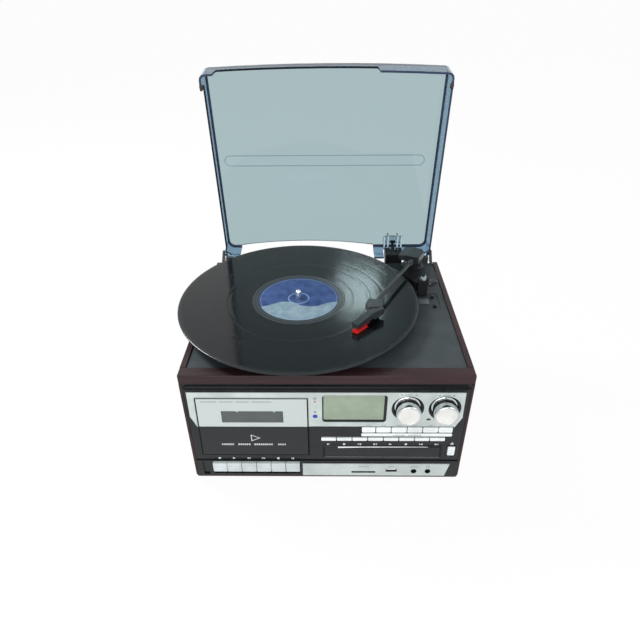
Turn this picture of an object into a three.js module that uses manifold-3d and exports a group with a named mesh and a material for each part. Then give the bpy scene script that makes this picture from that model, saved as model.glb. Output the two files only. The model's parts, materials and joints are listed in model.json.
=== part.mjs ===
// Record player with a cassette deck, a radio and a disc drawer in one wooden cabinet, its smoked lid open.
// Millimetres, +Z up. While it is built, x = 0 and y = 0 are the middle of the cabinet, z = 0 is the underside
// of its base board and the front faces -Y. The group is then set with the middle of its box over the origin
// and its feet at z = 0.
import * as THREE from "three";
import { mergeVertices } from "three/addons/utils/BufferGeometryUtils.js";
import Module from "manifold-3d";

// Sizes shared by several pieces
const gap = 0.3; // free space between neighbouring pieces
const weld = 0.0001; // points closer than this are one point
const past = 1; // how far a cutting solid reaches past the face it cuts
const deg = Math.PI / 180;
const steps = { fine: 96, round: 48, knob: 36, small: 20, tiny: 12, corner: 3, bow: 8, nose: 5 };

// Case: it ends where the record hangs over its left side and front, and a margin beside and behind the arm
const cabinet = {
  height: 162, board: 12, round: 1.5, leftOver: 24.55, frontOver: 14.75, besideArm: 36.9,
  behindArm: 31.5,
};
const disc = { radius: 150.75, thick: 2.2, hole: 3.9, bevel: 0.65, overTop: 14.2 };
const pivot = { clear: 33.48, bearingDeg: 29.78 }; // of the arm: from the record's rim, and its bearing
const armAcross = (disc.radius + pivot.clear) * Math.cos(pivot.bearingDeg * deg);
const armBehind = (disc.radius + pivot.clear) * Math.sin(pivot.bearingDeg * deg);
const half = (disc.radius - cabinet.leftOver + armAcross + cabinet.besideArm) / 2;
const back = (disc.radius - cabinet.frontOver + armBehind + cabinet.behindArm) / 2;
const front = -back;
const top = cabinet.height;
const discAt = { x: disc.radius - cabinet.leftOver - half, y: disc.radius - cabinet.frontOver - back };
const armAt = { x: discAt.x + armAcross, y: discAt.y + armBehind };
const sideIn = half - cabinet.board;

// Wooden case and the front panel in it; deck, lip and lid follow the panel
const base = { thick: 3, corner: 3, slotLength: 60, slotWidth: 4, slotPitch: 10, slots: 5 };
const foot = { radius: 9, taper: 1, height: 5, insetX: 22, insetY: 22 };
const rail = { depth: 14.2, height: 11.7 };
const fascia = { beside: 3.5, back: 4, front: -0.3, stepOut: 1.5 };
const fasciaHalf = half - fascia.beside;
const fasciaTop = top - rail.height - gap;

// Places on the front and inside are counted in shares of the panel's half width, the half depth and the panel's
// height; in this cabinet a share is a millimetre. This works them out.
const gridShares = { across: 158, deep: 129.5, up: 150 };
const acrossNames = ["left", "leftLow", "right", "rightTop", "rightLow", "x", "edges"];
const deepNames = ["front", "back", "y"];
function placed(shares) {
  const size = (name) => {
    if (acrossNames.includes(name)) return fasciaHalf / gridShares.across;
    return deepNames.includes(name) ? back / gridShares.deep : fasciaTop / gridShares.up;
  };
  const times = (value, by) => (Array.isArray(value) ? value.map((v) => v * by) : value * by);
  return Object.fromEntries(Object.entries(shares).map(([name, value]) => [name, times(value, size(name))]));
}
const baseShares = { y: 30 };
const baseSlotY = placed(baseShares).y;
const grilleShares = { y: 75, z: 80 };
const grille = { ...placed(grilleShares), slots: 7, pitch: 9, width: 4, length: 62 };
const ventShares = { x: -60, z: 60 };
const vent = { ...placed(ventShares), length: 46, width: 3, pitch: 7, count: 6 };
const rear = { thick: 2.7 };
const socketShares = { x: 40, z: 40 };
const socket = { ...placed(socketShares), radius: 4.2, hole: 1.7, reach: 8, depth: 7, pitch: 14, count: 2 };
const inletShares = { x: 96, z: 28 };
const inlet = { ...placed(inletShares), radius: 5.5, hole: 3, pin: 1, reach: 7, depth: 2 };

// Deck, the ears that carry the lid and the block in front of each
const deck = { beside: 6.6, thick: 3, below: 1.8, recess: 1 };
const ear = { radius: 5.2, edge: 0.5, thick: 2.9, root: 4, heel: 1.2, fromDeg: -95, toDeg: 140 };
const earBlock = { wide: 10, reach: 4.3, rise: 9.8, seat: 1 };
const pin = { radius: 2.4, slack: 0.4, short: 0.1 };
const deckHalf = half - deck.beside;
const earOuter = deckHalf - ear.edge;
const earInner = earOuter - ear.thick;

// Record and drive
const mat = { thick: 1.8, radius: 98 };
const platter = {
  radius: 100, thick: 2.5, rim: 3, rimDrop: 6, ring: 56, ringWall: 3, ringDrop: 5.4, hub: 9,
  bore: 4.2,
};
const spindle = { radius: 3.6, over: 12.2, nose: 2, housing: 10, housingDrop: 16, foot: 24 };
const motor = { radius: 17, height: 26, boss: 6, bossRise: 2, shaft: 1.5, reach: 78, turnDeg: 225, hole: 8 };
const pulley = { radius: 6, flange: 7.2, flangeThick: 0.8, bore: 1.9 };
const belt = { thick: 1, width: 3.2, slack: 0.4 };

// Tonearm: along is measured from the upright pivot towards the stylus, aside to the right of the arm
const arm = { turnDeg: 241.6, centre: 26, radius: 2.4, from: 22, to: 141 };
const collar = { width: 6.6, height: 5.8, behind: 1.5, to: 27, taper: 0.7 };
const armCap = {
  top: 31.3, thick: 1.35, bottom: 21.9, slack: 0.6, back: 3.2, hub: 7.5, under: 0.5, fall: 3.5,
};
const shell = { top: 27.6, bottom: 19.5, blockTop: 29.1, blockBottom: 21.5, fall: 2.2 };
const fingerLift = { thick: 1.1 };
const cartridge = { drop: 0.4, depth: 2.6, width: 6.4, length: 21, ahead: 3, point: 3.4, tip: 0.6 };
const guard = { behind: 3, length: 19, left: 1.4, right: 6, top: 17.5, bottom: 14.9 };
const armBase = { thick: 12, column: 11, columnTop: 20.3, columnNeck: 9, corner: 2 };

// Outlines in plan, [x, y] from the arm's pivot
const capPlan = [
  [-25, -0.9], [-12.8, 24.1], [-3.5, 18.6], [8.9, 11.6], [10.7, 3], [1.2, -15.8], [-15.4, -7.7],
];
const blockPlan = [[-73.5, -115.9], [-60.3, -119.3], [-62.1, -134.5], [-74.1, -136.5], [-78, -129]];
const bodyPlan = [
  [-62.5, -128.1], [-55.7, -135.9], [-70.5, -147.6], [-88.9, -168.5], [-94.7, -162.2],
  [-76.7, -141.7],
];
const liftPlan = [[-71.4, -147.8], [-67.2, -150.6], [-54.2, -131.6], [-55.6, -130.2], [-58, -133.6]];
const basePlan = [
  [-20.1, -18], [-18.6, 10], [-8.6, 20], [11.4, 20], [11.4, -38], [5.4, -46], [-6.6, -46],
  [-13.1, -34],
];
const byArm = (plan) => plan.map(([x, y]) => [armAt.x + x, armAt.y + y]);
const capOutline = byArm(capPlan);
const shellBlock = byArm(blockPlan);
const shellBody = byArm(bodyPlan);
const liftOutline = byArm(liftPlan);
const baseOutline = byArm(basePlan);

// Right of the record: the control recess, the two slides, the arm rest with its clip and the cue lever.
// x and y are from the arm's pivot.
const controlPlan = { left: -7.6, right: 22.4, front: -90.5, back: -54 };
const controlEdge = { corner: 4, plateRise: 1 };
const platePlan = { left: -4.1, right: 9.4, front: -80.4, back: -68 };
const slider = { width: 4, length: 5, rise: 4, stem: 1.6, drop: 5, travel: 5, slack: 0.6 };
const sliderSpot = { x: 14.7, speed: -64.5, stop: -87 };
const restPlan = { left: -3.8, right: 7.8, front: -61.5, back: -53 };
const rest = { floor: 22.6, prong: 26, prongWide: 2.2, lip: 1.6, notch: 1.6 };
const clip = {
  thick: 1.5, width: 4, height: 10.6, reach: 9.4, lip: 2, hub: 2.2, z: 20, inFromFront: 0.5,
  openDeg: 70,
};
const cue = {
  hub: 3.4, wide: 2.6, ahead: 34, z: 8, armY: 22, armZ: 4, thick: 2.6, knob: 1.8, knobLong: 11,
  knobDeg: 45, axle: 1.4, bore: 1.7,
};

// Lid: back is measured from the outer face of its back wall, over from the hinge axis
const lid = { length: 258.7, bow: 3.6, wall: 2.5, over: 27.56, under: 7.54, pivotBack: 4.27, openDeg: 84.25 };
const lidRound = { edge: 5.5, backCorner: 12, frontCorner: 7, least: 0.8 };
const hingeAt = { behind: 13.8, overTop: 7.2 };
const frontCut = { beside: 16.2, right: 99.3, deep: 16.4, slant: 2.5 };
const sideCut = { back: 8.5, front: 14, deep: 17, slant: 2.5 };
const backCut = { left: 93.7, right: 105.3, ends: 4, middle: 11.3 };
const bumper = { fromFront: 11, length: 8, thick: 1 };
const lidHalf = earInner - gap;
const lidIn = lidHalf - lid.wall;
const hingeY = back + hingeAt.behind;

// Friction hinge and the catch in the lid that takes its tongue; both are placed from the ear
const hinge = { fromEar: 41.5, wide: 24.4, rise: 14.5, cheek: 8.6, pin: 2.2, drop: 10, chamfer: 1 };
const catchBox = {
  fromEar: 53.7, half: 13.5, near: 5, floor: 10.4, far: 23.5, low: 9.2, wall: 2, rib: 7,
  pocket: 1.8, side: 13, prong: 19.5,
};
const tongue = {
  width: 8, stem: 4.6, head: 7, headLong: 3, barrel: 5.8, bore: 2.6, thick: 3, lift: 12, far: 14,
  knee: 6, slot: 0.3,
};
const blockCut = { beside: 1.2, deep: 24 };

// Front panel: places in shares, depths measured back from the front of the wood
const stepShares = { z: 29.6 };
const lipShares = { top: 148.8, bottom: 140.5 };
const lip = { ...placed(lipShares), short: 1, out: 2.8, end: 3 };
const silverShares = { left: -154.9, right: 153.3, top: 139, bottom: 86.2 };
const silver = { ...placed(silverShares), thick: 1.2 };
const cornerShares = { x: [-155.4, -149.1, 146.8, 154.1], z: [102.6, 86.6, 86, 101.8] };
const doorShares = { left: -147, leftLow: -149.4, right: -20.4, top: 131.4, bottom: 37.9 };
const door = { ...placed(doorShares), thick: 4, out: 1.7 };
const windowShares = { left: -119.2, right: -49, top: 110.3, bottom: 93.9 };
const doorWindow = { ...placed(windowShares), thick: 1.6, ledge: 3, back: 0.9 };
const holderShares = { left: -140, right: -28, bottom: 44, top: 112.5 };
const holder = { ...placed(holderShares), deep: 14, wall: 2, lip: 9, floor: 2.4 };
const frameShares = { left: -4.7, right: 68, top: 135.4, bottom: 94.3 };
const lcdFrame = { ...placed(frameShares), corner: 4 };
const lcdShares = { left: -3.3, right: 65, top: 134.1, bottom: 96.5 };
const lcd = { ...placed(lcdShares), back: 7, sunk: 0.6 };
const knobShares = { x: [91.2, 132.5], z: 115.6 };
const knob = {
  ...placed(knobShares), ring: 18.2, ringOut: 1.2, cone: 15.7, sink: 2.2, flange: 15,
  flangeThick: 1,
};
const knobCap = {
  radius: 13.85, front: 15, edge: 1.2, dish: 11.6, dishDeep: 0.5, shaft: 3, shaftBack: 10,
  waist: 13,
};
const barShares = { left: 40, right: 146.4, top: 75.4, bottom: 70.9 };
const bar = { ...placed(barShares), out: 0.9 };
const push = { back: 6.5, bevel: 0.5, split: 0.5, corner: 0.5 };
const functionShares = { edges: [40.6, 57, 74.8, 93.1, 111, 129, 145.8], top: 85.8, bottom: 76.8 };
const functionRow = { ...placed(functionShares), out: 4 };
const discShares = { edges: [-6.6, 11.7, 30.1, 48.3, 66.6, 84.6, 103, 120.4, 138.9], top: 68.9, bottom: 62 };
const discRow = { ...placed(discShares), out: 2.2 };
const openShares = { left: 143.4, right: 152.4, top: 54, bottom: 38.2 };
const openKey = { ...placed(openShares), frame: 1.2, back: 2.5, out: 2.2 };
const keyShares = {
  edges: [-138.2, -120.8, -103, -84.9, -67.1, -49.4, -32.1], top: 28.3, bottom: 7.4, z: 21,
};
const keyRow = placed(keyShares);
const key = { out: 5, back: 12, ridgeOut: 1.2, ridgeHigh: 2.4, chamfer: 1.6, split: 0.6 };
const pitShares = { left: -150.9, right: -143.5, top: 27.8, bottom: 5.3 };
const pit = { ...placed(pitShares), deep: 2 };
const stripShares = { left: -28.9, rightTop: 148.7, rightLow: 144, top: 26, bottom: 5.3 };
const strip = { ...placed(stripShares), thick: 1.2, deep: 12 };
const slotShares = { left: 30.5, right: 59.7, top: 13.1, bottom: 10.3 };
const cardSlot = placed(slotShares);
const usbShares = { left: 72.2, right: 85.6, top: 17.5, bottom: 12.3 };
const usb = { ...placed(usbShares), wall: 1, tongue: 1.8, side: 1, sunk: 1.5 };
const jackShares = { x: [106.2, 123.1], z: 13.7 };
const jack = { ...placed(jackShares), hole: 1.9, ring: 3.3, barrel: 4.6 };

// Disc drawer and what sits behind the front
const drawerShares = { left: -3.8, right: 136.5, top: 55.3, bottom: 35.4 };
const drawer = { ...placed(drawerShares), out: 1.2, bezel: 4, bevel: 0.9 };
const trayShares = { left: 3, right: 129.6, top: 46, back: 10 };
const tray = { ...placed(trayShares), thick: 6, seat: 60.4, seatDeep: 3, slot: 19, slotLength: 46 };
const deckShares = { low: 29.5, high: 59, front: -118, back: 28 };
const deckFrame = { ...placed(deckShares), side: 4, wide: 3, floor: 2.4, bridge: 9, lift: 2.2 };
const clamp = { radius: 15, height: 8, hub: 12, hubTop: 9.9 };
const tapeShares = { left: -144, right: -24, low: 31, high: 118, front: -110 };
const tape = { ...placed(tapeShares), thick: 2, hub: 9, hubOut: 1.4, deep: 15, leg: 12, foot: 24 };
const reelShares = { x: [-105.3, -62.7], z: 80 };
const tapeHub = { ...placed(reelShares), wheel: 20 };
const boardShares = { left: -70, right: 104, front: 42, back: 112 };
const board = { ...placed(boardShares), z: 8, thick: 1.6, post: 4, postX: 8, postY: 8 };
const sinkShares = { left: 40, right: 92, front: 90, back: 108 };
const heatsink = { ...placed(sinkShares), base: 3, fin: 1.6, fins: 6, high: 26 };
const coreShares = { left: -58, right: -8, front: 56, back: 96 };
const core = { ...placed(coreShares), high: 34, winding: 26, bulge: 7, corner: 5 };
const speaker = { frame: 36, cone: 30, magnet: 20, deep: 26, magnetDeep: 10, frameThick: 3 };

const wasm = await Module();
wasm.setup();

// Planes that follow from the sizes
const deckTop = top - deck.below;
const deckLow = deckTop - deck.thick;
const fasciaFront = front - fascia.front;
const fasciaBack = front + fascia.back;
const silverBack = fasciaFront - gap;
const silverFront = silverBack - silver.thick;
const lowFront = fasciaFront - fascia.stepOut;
const fasciaStep = placed(stepShares).z;
const recordTop = top + disc.overTop;
const recordLow = recordTop - disc.thick;
const hingeZ = top + hingeAt.overTop;
const armZ = top + arm.centre;
const hingeRight = earInner - hinge.fromEar;
const hingeLeft = hingeRight - hinge.wide;
const catchMid = earInner - catchBox.fromEar;
const pinEnd = lidIn + pin.short;
const slideX = armAt.x + sliderSpot.x;
const speedY = armAt.y + sliderSpot.speed;
const stopY = armAt.y + sliderSpot.stop;
const cueY = armAt.y - cue.ahead;
const byPivot = (p) => ({
  left: armAt.x + p.left,
  right: armAt.x + p.right,
  front: armAt.y + p.front,
  back: armAt.y + p.back,
});
const control = byPivot(controlPlan);
const plate = byPivot(platePlan);
const restAt = byPivot(restPlan);

// A geometry as a solid that can be joined and cut.
function solid(geometry) {
  const plain = geometry.clone();
  for (const name of Object.keys(plain.attributes)) {
    if (name !== "position") plain.deleteAttribute(name);
  }
  const joined = mergeVertices(plain, weld);
  const at = joined.getAttribute("position").array;
  const triangles = [];
  for (let i = 0; i < joined.index.count; i += 3) {
    const [a, b, c] = [0, 1, 2].map((k) => joined.index.array[i + k]);
    if (a !== b && b !== c && c !== a) triangles.push(a, b, c);
  }
  let volume = 0;
  for (let i = 0; i < triangles.length; i += 3) {
    const [a, b, c] = [0, 1, 2].map((k) => new THREE.Vector3().fromArray(at, triangles[i + k] * 3));
    volume += a.dot(b.cross(c));
  }
  if (volume < 0) triangles.reverse();
  const mesh = new wasm.Mesh({ numProp: 3, vertProperties: at, triVerts: new Uint32Array(triangles) });
  return new wasm.Manifold(mesh);
}

// Several solids as one.
const join = (...solids) => solids.reduce((a, b) => a.add(b));

// A solid less several others.
const cut = (from, ...tools) => tools.reduce((a, b) => a.subtract(b), from);

// An outline of [u, v] points drawn out from w0 to w1.
function drawn(points, w0, w1, holes = []) {
  const shape = new THREE.Shape(points.map(([u, v]) => new THREE.Vector2(u, v)));
  for (const hole of holes) {
    shape.holes.push(new THREE.Path(hole.map(([u, v]) => new THREE.Vector2(u, v))));
  }
  const low = Math.min(w0, w1);
  return new THREE.ExtrudeGeometry(shape, { depth: Math.abs(w1 - w0), bevelEnabled: false }).translate(0, 0, low);
}

// An [x, y] outline between two heights.
const upright = (points, z0, z1, holes) => solid(drawn(points, z0, z1, holes));

// An [x, z] outline between two values of y.
const facing = (points, y0, y1, holes) => solid(drawn(points, -y0, -y1, holes).rotateX(Math.PI / 2));

// A [y, z] outline between two values of x.
function sideways(points, x0, x1, holes) {
  const turn = new THREE.Matrix4().makeBasis(
    new THREE.Vector3(0, 1, 0),
    new THREE.Vector3(0, 0, 1),
    new THREE.Vector3(1, 0, 0),
  );
  return solid(drawn(points, x0, x1, holes).applyMatrix4(turn));
}

// The corners of a rectangle.
const rect = (u0, u1, v0, v1) => [[u0, v0], [u1, v0], [u1, v1], [u0, v1]];

// A block between two values on each axis.
const block = (x0, x1, y0, y1, z0, z1) => upright(rect(x0, x1, y0, y1), z0, z1);

// Points on an arc.
function arc(cu, cv, radius, from, to, count) {
  return Array.from({ length: count + 1 }, (_, i) => {
    const a = (from + ((to - from) * i) / count) * deg;
    return [cu + radius * Math.cos(a), cv + radius * Math.sin(a)];
  });
}

// A rectangle with round corners.
function rounded(u0, u1, v0, v1, radius, count = steps.corner) {
  const r = Math.min(radius, (u1 - u0) / 2 - weld, (v1 - v0) / 2 - weld);
  return [
    ...arc(u1 - r, v1 - r, r, 0, 90, count),
    ...arc(u0 + r, v1 - r, r, 90, 180, count),
    ...arc(u0 + r, v0 + r, r, 180, 270, count),
    ...arc(u1 - r, v0 + r, r, 270, 360, count),
  ];
}

// A [radius, height] profile turned about Z; the profile starts and ends on the axis or closes on itself.
const turned = (profile, count) =>
  new THREE.LatheGeometry(profile.map(([r, h]) => new THREE.Vector2(r, h)), count).rotateX(Math.PI / 2);

// The same about an axis that points forwards (-Y), sideways (+X) or up.
const turnedFront = (profile, count, x, y, z) => solid(turned(profile, count).rotateX(Math.PI / 2).translate(x, y, z));
const turnedSide = (profile, count, x, y, z) => solid(turned(profile, count).rotateY(Math.PI / 2).translate(x, y, z));
const turnedUp = (profile, count, x, y) => solid(turned(profile, count).translate(x, y, 0));

// The profile of a plain round bar and of a ring.
const rod = (r, h0, h1) => [[0, h0], [r, h0], [r, h1], [0, h1]];
const tube = (r0, r1, h0, h1) => [[r0, h0], [r1, h0], [r1, h1], [r0, h1], [r0, h0]];

// A block with its front edges chamfered: an [x, z] outline and its smaller copy in front.
function capped(points, y0, y1, bevel) {
  const cu = points.reduce((s, p) => s + p[0], 0) / points.length;
  const cv = points.reduce((s, p) => s + p[1], 0) / points.length;
  const wide = Math.max(...points.map((p) => Math.abs(p[0] - cu)));
  const high = Math.max(...points.map((p) => Math.abs(p[1] - cv)));
  const small = points.map(([u, v]) => [cu + (u - cu) * (1 - bevel / wide), cv + (v - cv) * (1 - bevel / high)]);
  return loft([
    points.map(([u, v]) => [u, y0, v]),
    points.map(([u, v]) => [u, y1 + bevel, v]),
    small.map(([u, v]) => [u, y1, v]),
  ]);
}

// A solid through rings of equally many [x, y, z] points, closed by a flat face at each end.
function loft(rings) {
  const count = rings[0].length;
  const points = rings.flat();
  const faces = [];
  for (let r = 0; r + 1 < rings.length; r += 1) {
    for (let i = 0; i < count; i += 1) {
      const j = (i + 1) % count;
      const [a, b, c, d] = [r * count + i, r * count + j, (r + 1) * count + j, (r + 1) * count + i];
      faces.push(a, b, c, a, c, d);
    }
  }
  for (const [ring, way] of [[0, -1], [rings.length - 1, 1]]) {
    const middle = points.length;
    const sum = rings[ring].reduce((s, p) => s.map((v, k) => v + p[k]), [0, 0, 0]);
    points.push(sum.map((v) => v / count));
    for (let i = 0; i < count; i += 1) {
      const j = (i + 1) % count;
      const [a, b] = way > 0 ? [i, j] : [j, i];
      faces.push(ring * count + a, ring * count + b, middle);
    }
  }
  const geometry = new THREE.BufferGeometry();
  geometry.setAttribute("position", new THREE.Float32BufferAttribute(points.flat(), 3));
  geometry.setIndex(faces);
  return solid(geometry);
}

// An outline with every corner moved towards its middle.
function inset(points, by) {
  const cu = points.reduce((s, p) => s + p[0], 0) / points.length;
  const cv = points.reduce((s, p) => s + p[1], 0) / points.length;
  return points.map(([u, v]) => {
    const far = Math.hypot(u - cu, v - cv);
    return [cu + ((u - cu) * (far - by)) / far, cv + ((v - cv) * (far - by)) / far];
  });
}

// Moves a solid.
const moved = (body, x, y, z) => body.translate([x, y, z]);

const group = new THREE.Group();

// Adds one piece: its name, its solid, its colour, roughness and metalness.
function piece(name, body, colour, roughness, metalness = 0) {
  const { numProp, vertProperties, triVerts } = body.getMesh();
  const at = new Float32Array(triVerts.length * 3);
  triVerts.forEach((v, i) => {
    for (let k = 0; k < 3; k += 1) at[i * 3 + k] = vertProperties[v * numProp + k];
  });
  const geometry = new THREE.BufferGeometry();
  geometry.setAttribute("position", new THREE.BufferAttribute(at, 3));
  geometry.computeVertexNormals();
  const mesh = new THREE.Mesh(geometry, new THREE.MeshStandardMaterial({ color: colour, roughness, metalness }));
  mesh.name = name;
  group.add(mesh);
}

// Base board with four feet and a row of air slots
const footSpots = [1, -1].flatMap((sx) => [1, -1].map((sy) => [sx * (half - foot.insetX), sy * (back - foot.insetY)]));
const footProfile = [
  [0, -foot.height],
  [foot.radius - foot.taper, -foot.height],
  [foot.radius, -foot.height + foot.taper],
  [foot.radius, base.thick / 2],
  [0, base.thick / 2],
];
const baseSlots = Array.from({ length: base.slots }, (_, i) => {
  const y = baseSlotY + (i - (base.slots - 1) / 2) * base.slotPitch;
  const points = rounded(-base.slotLength / 2, base.slotLength / 2, y - base.slotWidth / 2, y + base.slotWidth / 2, base.slotWidth / 2);
  return upright(points, -past, base.thick + past);
});
const baseBoard = join(
  upright(rounded(-half, half, front, back, base.corner), 0, base.thick),
  ...footSpots.map(([x, y]) => turnedUp(footProfile, steps.small, x, y)),
);
piece("base_board", cut(baseBoard, ...baseSlots), "#4a3433", 0.55);

// Side boards, each with a pocket for the front panel, a rebate for the deck and the loudspeaker slots
function sideBoard(way) {
  const plan = [
    [half, front],
    [half, back],
    [sideIn, back],
    [sideIn, fasciaBack + gap],
    [fasciaHalf + gap, fasciaBack + gap],
    [fasciaHalf + gap, front],
  ].map(([x, y]) => [way * x, y]);
  const slots = Array.from({ length: grille.slots }, (_, i) => {
    const z = grille.z + (i - (grille.slots - 1) / 2) * grille.pitch;
    const [y0, y1] = [grille.y - grille.length / 2, grille.y + grille.length / 2];
    const points = rounded(y0, y1, z - grille.width / 2, z + grille.width / 2, grille.width / 2);
    return sideways(points, way * (sideIn - past), way * (half + past));
  });
  const [x0, x1] = [way * (sideIn - past), way * (deckHalf + gap)].sort((a, b) => a - b);
  return cut(
    upright(plan, base.thick + gap, top),
    block(-half - past, half + past, front - past, front + rail.depth + gap, top - rail.height - gap, top + past),
    block(x0, x1, front - past, back + past, deckLow - gap, top + past),
    ...slots,
  );
}
piece("left_side", sideBoard(-1), "#5b4241", 0.5);
piece("right_side", sideBoard(1), "#5b4241", 0.5);

// Front rail over the panel, its front edges rounded
const railOutline = [
  [front, top - rail.height],
  [front + rail.depth, top - rail.height],
  [front + rail.depth, top],
  ...arc(front + cabinet.round, top - cabinet.round, cabinet.round, 90, 180, steps.corner),
];
piece("front_rail", sideways(railOutline, -half, half), "#5b4241", 0.48);

// Rear panel with air slots, two line sockets and the supply inlet
const rearHalf = sideIn - gap;
const rearOutline = rect(-rearHalf, rearHalf, base.thick + gap, deckLow - gap);
const rearVents = Array.from({ length: vent.count }, (_, i) => {
  const z = vent.z + i * vent.pitch;
  const [x0, x1] = [vent.x - vent.length / 2, vent.x + vent.length / 2];
  return rounded(x0, x1, z - vent.width / 2, z + vent.width / 2, vent.width / 2);
});
const sockets = Array.from({ length: socket.count }, (_, i) => ({ ...socket, x: socket.x + i * socket.pitch }));
let rearPanel = facing(rearOutline, back - rear.thick, back, rearVents);
for (const s of sockets) {
  rearPanel = rearPanel.add(turnedFront(rod(s.radius, -s.reach, s.depth), steps.small, s.x, back, s.z));
  rearPanel = rearPanel.subtract(turnedFront(rod(s.hole, -s.reach - past, 0), steps.small, s.x, back, s.z));
}
const inletWell = tube(inlet.pin, inlet.hole, -inlet.depth - past, inlet.reach - inlet.depth);
rearPanel = join(rearPanel, turnedFront(rod(inlet.radius, -inlet.depth, inlet.reach), steps.small, inlet.x, back, inlet.z));
rearPanel = rearPanel.subtract(turnedFront(inletWell, steps.small, inlet.x, back, inlet.z));
piece("rear_panel", rearPanel, "#2a2c2e", 0.6);

// Deck with the ears that carry the lid and a block in front of each ear
const motorAt = {
  x: discAt.x + motor.reach * Math.cos(motor.turnDeg * deg),
  y: discAt.y + motor.reach * Math.sin(motor.turnDeg * deg),
};
const earOutline = [
  [back - ear.root, deckLow],
  [hingeY - ear.radius / 2, deckLow + ear.heel],
  ...arc(hingeY, hingeZ, ear.radius, ear.fromDeg, ear.toDeg, steps.tiny),
  [back - ear.root, deckTop],
];
function deckEar(way) {
  const [x0, x1] = [way * pinEnd, way * (earOuter - past)].sort((a, b) => a - b);
  const [x2, x3] = [way * (lidIn - 2 * gap - earBlock.wide), way * (lidIn - 2 * gap)].sort((a, b) => a - b);
  return join(
    sideways(earOutline, way * earInner, way * earOuter),
    turnedSide(rod(pin.radius, x0, x1), steps.tiny, 0, hingeY, hingeZ),
    block(x2, x3, back - earBlock.seat, back + earBlock.reach, deckLow, deckTop + earBlock.rise),
  );
}
const sliderSlot = (y) => {
  const w = slider.stem / 2 + slider.slack;
  return block(slideX - w, slideX + w, y - w, y + slider.travel + w, deckLow - past, deckTop + past);
};
const deckPlate = cut(
  join(
    upright(rect(-deckHalf, deckHalf, front + rail.depth + gap, back), deckLow, deckTop),
    deckEar(1),
    deckEar(-1),
  ),
  turnedUp(rod(platter.bore, deckLow - past, deckTop + past), steps.small, discAt.x, discAt.y),
  turnedUp(rod(motor.hole, deckLow - past, deckTop + past), steps.small, motorAt.x, motorAt.y),
  upright(
    rounded(control.left, control.right, control.front, control.back, controlEdge.corner),
    deckTop - deck.recess,
    deckTop + past,
  ),
  sliderSlot(speedY),
  sliderSlot(stopY),
);
const recessFloor = deckTop - deck.recess;
const plateOutline = rect(plate.left, plate.right, plate.front, plate.back);
const controlPlate = upright(plateOutline, recessFloor - weld, recessFloor + controlEdge.plateRise);
piece("deck_plate", deckPlate.add(controlPlate), "#4f595c", 0.6);

// The two small slide switches
function slideSwitch(y) {
  const low = deckTop - deck.recess + gap;
  const w = slider.stem / 2;
  return join(
    upright(
      rounded(slideX - slider.width / 2, slideX + slider.width / 2, y - slider.length / 2, y + slider.length / 2, w),
      low,
      low + slider.rise,
    ),
    block(slideX - w, slideX + w, y - w, y + w, deckLow - slider.drop, low + slider.stem),
  );
}
piece("speed_switch", slideSwitch(speedY), "#1b1c1e", 0.45);
piece("auto_stop_switch", slideSwitch(stopY), "#1b1c1e", 0.45);

// Platter: mat, plate, rim, drive ring and hub in one turned profile
const matTop = recordLow - gap;
const plateTop = matTop - mat.thick;
const plateLow = plateTop - platter.thick;
const platterProfile = [
  [platter.bore, plateLow - platter.ringDrop],
  [platter.hub, plateLow - platter.ringDrop],
  [platter.hub, plateLow],
  [platter.ring - platter.ringWall, plateLow],
  [platter.ring - platter.ringWall, plateLow - platter.ringDrop],
  [platter.ring, plateLow - platter.ringDrop],
  [platter.ring, plateLow],
  [platter.radius - platter.rim, plateLow],
  [platter.radius - platter.rim, plateLow - platter.rimDrop],
  [platter.radius, plateLow - platter.rimDrop],
  [platter.radius, plateTop],
  [mat.radius, plateTop],
  [mat.radius, matTop],
  [platter.bore, matTop],
  [platter.bore, plateLow - platter.ringDrop],
];
piece("platter", turnedUp(platterProfile, steps.round, discAt.x, discAt.y), "#33373a", 0.7);

// Record with bevelled rim
const recordProfile = [
  [disc.hole, recordLow],
  [disc.radius - disc.bevel, recordLow],
  [disc.radius, recordLow + disc.thick / 2],
  [disc.radius - disc.bevel, recordTop],
  [disc.hole, recordTop],
  [disc.hole, recordLow],
];
piece("record", turnedUp(recordProfile, steps.fine, discAt.x, discAt.y), "#2b3033", 0.3);

// Spindle with its bearing housing under the deck
const housingTop = deckLow - gap;
const spindleProfile = [
  [0, housingTop - spindle.foot],
  [spindle.radius, housingTop - spindle.foot],
  [spindle.radius, housingTop - spindle.housingDrop],
  [spindle.housing, housingTop - spindle.housingDrop],
  [spindle.housing, housingTop],
  [spindle.radius, housingTop],
  [spindle.radius, recordTop + spindle.over - spindle.nose],
  [spindle.radius - spindle.nose / 3, recordTop + spindle.over - spindle.nose / 3],
  [spindle.radius / 2, recordTop + spindle.over],
  [0, recordTop + spindle.over],
];
piece("spindle", turnedUp(spindleProfile, steps.small, discAt.x, discAt.y), "#c9ccce", 0.2, 0.9);

// Motor, pulley and belt
const beltTop = plateLow - gap;
const motorTop = deckLow - gap;
const motorProfile = [
  [0, motorTop - motor.height],
  [motor.radius, motorTop - motor.height],
  [motor.radius, motorTop],
  [motor.boss, motorTop],
  [motor.boss, motorTop + motor.bossRise],
  [motor.shaft, motorTop + motor.bossRise],
  [motor.shaft, beltTop],
  [0, beltTop],
];
piece("motor", turnedUp(motorProfile, steps.small, motorAt.x, motorAt.y), "#9b9ea1", 0.4, 0.7);
const pulleyLow = beltTop - platter.ringDrop + gap;
const pulleyProfile = [
  [pulley.bore, pulleyLow],
  [pulley.flange, pulleyLow],
  [pulley.flange, pulleyLow + pulley.flangeThick],
  [pulley.radius, pulleyLow + pulley.flangeThick],
  [pulley.radius, beltTop],
  [pulley.bore, beltTop],
  [pulley.bore, pulleyLow],
];
piece("motor_pulley", turnedUp(pulleyProfile, steps.small, motorAt.x, motorAt.y), "#c2a24a", 0.35, 0.8);

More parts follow.
